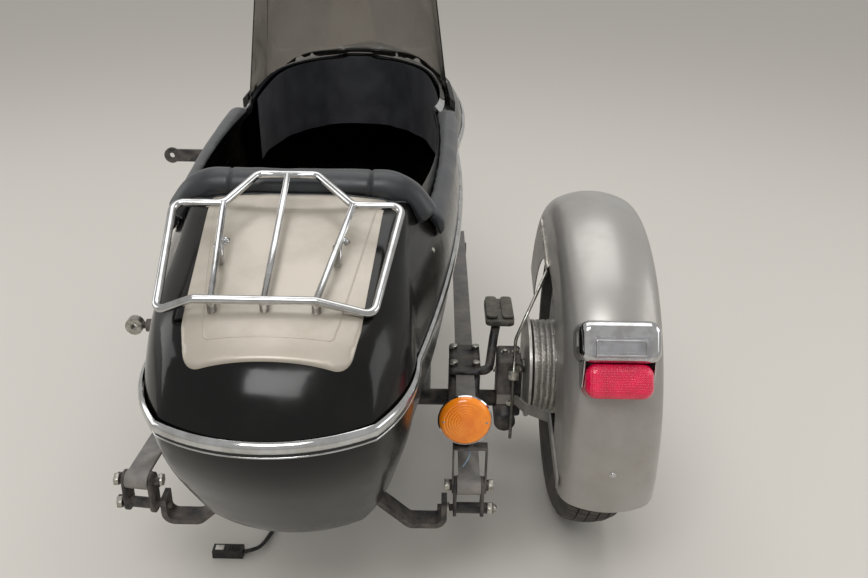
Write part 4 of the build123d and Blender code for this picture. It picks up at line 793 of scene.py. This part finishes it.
bmesh.ops.transform(bm, matrix=facing((WHEEL_X, 0, AXLE_HEIGHT), (1, 0, 0)), verts=bm.verts)
piece("tyre_with_tread", bm, wheel_tyre, "wheel", ["tyre"], 28)

# Amber lens with turned rings, held by two small domed screws
INDICATOR_STATION, INDICATOR_TILT = (282, -392, 440), radians(6)
LENS_RADIUS, LENS_CROWN, LENS_FALL, RING_COUNT, RING_SPACING, RING_DEPTH = 44.5, 13.6, 6.5, 16, 2.3, 0.9
LENS_DIMPLE = 0.2
LENS_SCREW_X, LENS_SCREW_RISE, LENS_SCREW_RADIUS, LENS_SCREW_HEIGHT = 36.5, 7.2, 2.6, 2.2
indicator_place = facing(INDICATOR_STATION, (0, -cos(INDICATOR_TILT), sin(INDICATOR_TILT)))
lens_profile = [(0, LENS_CROWN - LENS_DIMPLE)]
for step in range(1, RING_COUNT + 1):
    radius = RING_SPACING * step
    crown_height = LENS_CROWN - LENS_FALL * (radius / LENS_RADIUS) ** 2
    lens_profile.append((radius, crown_height - (RING_DEPTH if step % 2 else 0.0)))
lens_profile += [(39.5, 8.0), (42.5, 5.2), (44.2, 2.0), (LENS_RADIUS, 0.0), (0, 0.0)]
lens = turned(lens_profile, indicator_place, 64)
piece("indicator_ringed_lens", lens, amber_lens, nodes=["indicator_lens"], angle=25)
screws = []
for side in (-1, 1):
    foot = Matrix.Translation((side * LENS_SCREW_X / 1000, 0, LENS_SCREW_RISE / 1000))
    screws.append(dome(indicator_place @ foot, LENS_SCREW_RADIUS, LENS_SCREW_HEIGHT))
piece("indicator_lens_screws", joined(screws), zinc_steel)

# Step pad: a rubber block with two raised lobes
STEP_X, STEP_Y, LOBE_Z, LOBE_X, LOBE_SIZE, LOBE_CORNER = 374.0, 157.0, 387.2, 17.5, (25, 104, 4), 9.0
piece("step_pad_skin", merged_copy("step_pad"), worn_rubber, nodes=["step_pad"])
lobes = bmesh.new()
for side in (-1, 1):
    slab(lobes, Matrix.Translation(at(STEP_X + side * LOBE_X, STEP_Y, LOBE_Z)), LOBE_SIZE)
bevelled(lobes, upright_edges(lobes), LOBE_CORNER, 5)
piece("step_pad_lobes", lobes, worn_rubber)

# Tail lamp: a clear window with a bright frame in the hood's face, and wings beside the red lens
LAMP_ANGLE, LAMP_X, LAMP_FOOT_RADIUS, FENDER_Y, FENDER_Z = 32.0, 541.0, 358.0, -9.0, 320.0
lamp_up = Vector((0, sin(radians(LAMP_TILT)), cos(radians(LAMP_TILT))))
lamp_out = Vector((0, -cos(radians(LAMP_TILT)), sin(radians(LAMP_TILT))))
lamp_place = Matrix.Translation(at(
    LAMP_X, FENDER_Y - LAMP_FOOT_RADIUS * cos(radians(LAMP_ANGLE)),
    FENDER_Z + LAMP_FOOT_RADIUS * sin(radians(LAMP_ANGLE)),
)) @ Matrix((Vector((1, 0, 0)), lamp_up, lamp_out)).transposed().to_4x4()
HOOD_FACE, WINDOW_HALF, WINDOW_LOW, WINDOW_HIGH, WINDOW_CORNER = 78.0, 49.0, 5.0, 44.0, 8.0
window_line = rounded_line([
    (-WINDOW_HALF, WINDOW_LOW, HOOD_FACE), (WINDOW_HALF, WINDOW_LOW, HOOD_FACE),
    (WINDOW_HALF, WINDOW_HIGH, HOOD_FACE), (-WINDOW_HALF, WINDOW_HIGH, HOOD_FACE),
], WINDOW_CORNER, closed=True)
window_path = [lamp_place @ (point / 1000) for point in window_line]
FRAME_SECTION = [(-1.8, -1.0), (-1.6, 1.0), (-0.8, 1.9), (0.8, 1.9), (1.6, 1.0), (1.8, -1.0)]
piece(
    "tail_lamp_window_frame", swept(window_path, FRAME_SECTION, lamp_out, closed=True), bright_chrome,
    angle=50,
)
WINDOW_THICK, WINDOW_PROUD = 1.4, 0.5
window = bmesh.new()
slab(
    window, Matrix.Translation((0, (WINDOW_LOW + WINDOW_HIGH) / 2000, (HOOD_FACE + WINDOW_PROUD) / 1000)),
    (2 * WINDOW_HALF, WINDOW_HIGH - WINDOW_LOW, WINDOW_THICK),
)
bevelled(window, upright_edges(window), WINDOW_CORNER, 5)
bmesh.ops.transform(window, matrix=lamp_place, verts=window.verts)
piece("tail_lamp_clear_window", window, clear_window)
WING_PLAN = [(3, 14), (3, 66), (-20, 55), (-42, 36), (-42, 14)]
WING_INNER, WING_THICK, WING_EASE = 58.6, 3.2, 1.0
wings = bmesh.new()
for side in (-1, 1):
    corners = [
        wings.verts.new((side * WING_INNER / 1000, rise / 1000, out / 1000)) for rise, out in WING_PLAN
    ]
    face = wings.faces.new(corners)
    made = bmesh.ops.extrude_face_region(wings, geom=[face])["geom"]
    outer = [item for item in made if isinstance(item, bmesh.types.BMVert)]
    bmesh.ops.translate(wings, verts=outer, vec=(side * WING_THICK / 1000, 0, 0))
bmesh.ops.recalc_face_normals(wings, faces=wings.faces)
bevelled(wings, wings.edges[:], WING_EASE, 3)
bmesh.ops.transform(wings, matrix=lamp_place, verts=wings.verts)
piece("tail_lamp_wings", wings, bright_chrome)

# Fasteners. Columns: station on the node, node, radius, height.
DOMES = [
    ((-97, -409, 770), "deck_panel", 6.4, 7.0), ((87, -408, 771), "deck_panel", 6.4, 7.0),
    ((545, -393, 332), "fender", 4.6, 3.4),
]
SNAPS = [
    ((244, -212, 725), "deck_upper"), ((-244, -212, 725), "deck_upper"),
    ((222, -283, 708), "deck_upper"), ((-222, -283, 708), "deck_upper"),
    ((185, -592, 615), "hull_lower"), ((281, 223, 654), "deck_upper"), ((-281, 223, 654), "deck_upper"),
    ((-139, 867, 775), "windshield_lip"), ((121, 888, 780), "windshield_lip"),
    ((199, 755, 787), "windshield_lip"), ((-199, 755, 787), "windshield_lip"),
]
SNAP_RADIUS, SNAP_HEIGHT = 4.2, 3.2
FRONT_BOLT, FRONT_BOLT_RADIUS, FRONT_BOLT_HEIGHT = (-12, -287, 793), 5.0, 5.6
trees = {
    name: tree_of(name) for name in ("deck_panel", "deck_upper", "fender", "hull_lower", "windshield_lip")
}
domes = [dome(seated(trees[node], station), radius, height) for station, node, radius, height in DOMES]
front_place = seated(trees["deck_upper"], FRONT_BOLT) @ Matrix.Translation((0, 0, PANEL_LIFT / 1000))
domes.append(dome(front_place, FRONT_BOLT_RADIUS, FRONT_BOLT_HEIGHT))
piece("panel_and_fender_bolts", joined(domes), bright_chrome)
snaps = [dome(seated(trees[node], station), SNAP_RADIUS, SNAP_HEIGHT) for station, node in SNAPS]
piece("cover_snaps", joined(snaps), zinc_steel)

# Zinc bolts. Columns: station, direction, radius, height, washer.
UP, LEFT, RIGHT, BEHIND = (0, 0, 1), (-1, 0, 0), (1, 0, 0), (0, -1, 0)
CLAMP_MIDDLES, CLAMP_BOLT_X, CLAMP_BOLT_Y = (293, -243), 23.5, 35
SHACKLE_MIDDLES, SHACKLE_FACE, SHACKLE_Y, SHACKLE_HEIGHTS = (293, -293), 34.1, -386, (300, 250)
BOLTS = [
    ((x + side * CLAMP_BOLT_X, y, 346.9), UP, 9.6, 6.2, 0.0)
    for x in CLAMP_MIDDLES for side in (-1, 1) for y in (-CLAMP_BOLT_Y, CLAMP_BOLT_Y)
] + [
    ((x + side * SHACKLE_FACE, SHACKLE_Y, z), RIGHT if side > 0 else LEFT, 11.8, 9.6, 0.0)
    for x in SHACKLE_MIDDLES for side in (-1, 1) for z in SHACKLE_HEIGHTS
] + [
    ((380, 10, 352.2), UP, 6.5, 5.0, 1.2), ((404, 11, 352.2), UP, 6.5, 5.0, 1.2),
    ((404, -38.2, 338), BEHIND, 5.5, 4.5, 1.2), ((362.8, 22, 302), LEFT, 6.5, 5.0, 1.2),
    ((392, -43.4, 259), BEHIND, 6.5, 6.0, 1.0),
]
bolts = [
    hexagon(facing(station, way), radius, height, washer)
    for station, way, radius, height, washer in BOLTS
]
# An acorn nut closes the right shackle's lower bolt.
ACORN_RADIUS, ACORN_HEIGHT, ACORN_X = 8.4, 9.0, 43.4
acorn = [
    (ACORN_RADIUS * cos(radians(angle)), ACORN_HEIGHT * sin(radians(angle))) for angle in range(0, 90, 10)
] + [(0, ACORN_HEIGHT)]
acorn_foot = (SHACKLE_MIDDLES[0] + ACORN_X, SHACKLE_Y, SHACKLE_HEIGHTS[1])
bolts.append(turned([(0, 0), *acorn], facing(acorn_foot, RIGHT), 28))
piece("zinc_bolts", joined(bolts), zinc_steel, angle=25)

# Cords


def cord_curve(name, route, radius, material, steps, facets):
    """A smooth round curve through a cord's route of stations, on the chassis."""
    curve = bpy.data.curves.new(name, "CURVE")
    curve.dimensions, curve.resolution_u = "3D", steps
    curve.bevel_depth, curve.bevel_resolution, curve.use_fill_caps = radius / 1000, facets, True
    spline = curve.splines.new("NURBS")
    spline.points.add(len(route) - 1)
    for point, station in zip(spline.points, route):
        point.co = (*at(*station), 1.0)
    spline.order_u, spline.use_endpoint_u = 3, True
    curve.materials.append(material)
    obj = bpy.data.objects.new(name, curve)
    bpy.context.scene.collection.objects.link(obj)
    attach(obj, "chassis")
    return obj


# The loose lead hangs from the keel and lies back to its plug.
LEAD_ROUTE = [
    (-60, -60, 289.7), (-60, -60, 170), (-74, -88, 40), (-98, -130, 4),
    (-112, -168, 4), (-120, -204, 6), (-132, -230, 9), (-157, -237, 9),
]
LEAD_RADIUS, LEAD_LENGTH = 4.0, 440.0
lead = cord_curve("harness_lead_cord", LEAD_ROUTE, LEAD_RADIUS, lead_sleeve, 16, 5)
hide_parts("harness_lead")
# The plug's latch ribs and its white insert
PLUG_LEFT, PLUG_MIDDLE_Y, PLUG_TOP = -220.0, -237.0, 18.0
RIB_X, RIB_SPACING, RIB_RISE, RIB_SIZE, RIB_EASE = 34.0, 4.6, 0.7, (2.2, 15, 2.2), 0.6
INSERT_X, INSERT_RISE, INSERT_SIZE, INSERT_EASE = 14.0, 0.6, (17, 13, 2.8), 1.0
ribs = bmesh.new()
for step in range(5):
    rib_place = at(PLUG_LEFT + RIB_X + RIB_SPACING * step, PLUG_MIDDLE_Y, PLUG_TOP + RIB_RISE)
    slab(ribs, Matrix.Translation(rib_place), RIB_SIZE)
bevelled(ribs, ribs.edges[:], RIB_EASE, 2)
plug_ribs = piece("harness_plug_ribs", ribs, plug_plastic)
insert = bmesh.new()
insert_place = at(PLUG_LEFT + INSERT_X, PLUG_MIDDLE_Y, PLUG_TOP + INSERT_RISE)
slab(insert, Matrix.Translation(insert_place), INSERT_SIZE)
bevelled(insert, insert.edges[:], INSERT_EASE, 2)
plug_insert = piece("harness_plug_insert", insert, white_nylon)

# A thin lamp wire drops from the indicator to the shackle.
WIRE_ROUTE = [
    (288, -376, 402), (291, -380, 386), (294, -384, 368), (288, -387, 352), (281, -389, 342),
]
WIRE_RADIUS, WIRE_LENGTH = 1.2, 62.5
wire = cord_curve("indicator_wire", WIRE_ROUTE, WIRE_RADIUS, blue_sleeve, 12, 3)

# Studio

# The camera stands behind and above, at the photograph's place.
CAMERA_PLACE, CAMERA_PITCH, CAMERA_ROLL = (0.691, -1.870, 0.980), 64.93, 1.0
SENSOR, FOCAL = 36.0, 37.74
camera_data = bpy.data.cameras.new("camera")
camera_data.sensor_width, camera_data.lens = SENSOR, FOCAL
camera = bpy.data.objects.new("camera", camera_data)
camera.matrix_world = (
    Matrix.Translation(CAMERA_PLACE)
    @ Matrix.Rotation(radians(CAMERA_PITCH), 4, "X")
    @ Matrix.Rotation(radians(CAMERA_ROLL), 4, "Z")
)
bpy.context.scene.collection.objects.link(camera)
bpy.context.scene.camera = camera

# A wide flat pale floor
floor_material = bpy.data.materials.new("pale_studio_floor")
floor_material.use_nodes = True
floor_shader = floor_material.node_tree.nodes["Principled BSDF"]
floor_shader.inputs["Base Color"].default_value = colour("CFCBC4")
floor_shader.inputs["Roughness"].default_value = 0.85
FLOOR_HALF, FLOOR_X, FLOOR_Y = 9.0, 0.6, 2.0
bm = bmesh.new()
bmesh.ops.create_grid(
    bm, x_segments=1, y_segments=1, size=FLOOR_HALF,
    matrix=Matrix.Translation((FLOOR_X, FLOOR_Y, -EYE_STATION[2] / 1000)),
)
floor_mesh = bpy.data.meshes.new("studio_floor")
bm.to_mesh(floor_mesh)
bm.free()
floor_mesh.materials.append(floor_material)
floor = bpy.data.objects.new("studio_floor", floor_mesh)
bpy.context.scene.collection.objects.link(floor)

# Large soft lamps. Columns: name, place, point lit, width, height and power in watts.
LAMPS = [
    ("key_over_camera", (0.2, -2.6, 3.0), (0.6, 0.0, 0.0), 1.6, 1.2, 46),
    ("overhead", (0.6, 0.9, 3.6), (0.6, 0.8, 0.0), 3.0, 3.4, 52),
    ("left_fill", (-3.2, 0.2, 1.6), (0.4, 0.2, 0.2), 2.4, 1.8, 24),
    ("right_fill", (4.2, -0.6, 1.8), (0.8, 0.0, 0.1), 2.2, 1.8, 24),
]
for name, place, target, width, height, power in LAMPS:
    lamp_data = bpy.data.lights.new(name, "AREA")
    lamp_data.shape, lamp_data.energy = "RECTANGLE", power
    lamp_data.size, lamp_data.size_y = width, height
    lamp = bpy.data.objects.new(name, lamp_data)
    lamp.matrix_world = (
        Matrix.Translation(place)
        @ (Vector(target) - Vector(place)).to_track_quat("-Z", "Y").to_matrix().to_4x4()
    )
    bpy.context.scene.collection.objects.link(lamp)

WORLD_STRENGTH = 0.78
world = bpy.data.worlds.new("studio_world")
bpy.context.scene.world = world
world.use_nodes = True
world.node_tree.nodes["Background"].inputs["Color"].default_value = colour("D9D8D6")
world.node_tree.nodes["Background"].inputs["Strength"].default_value = WORLD_STRENGTH
bpy.context.scene.view_settings.view_transform = "Standard"

bpy.context.view_layer.update()
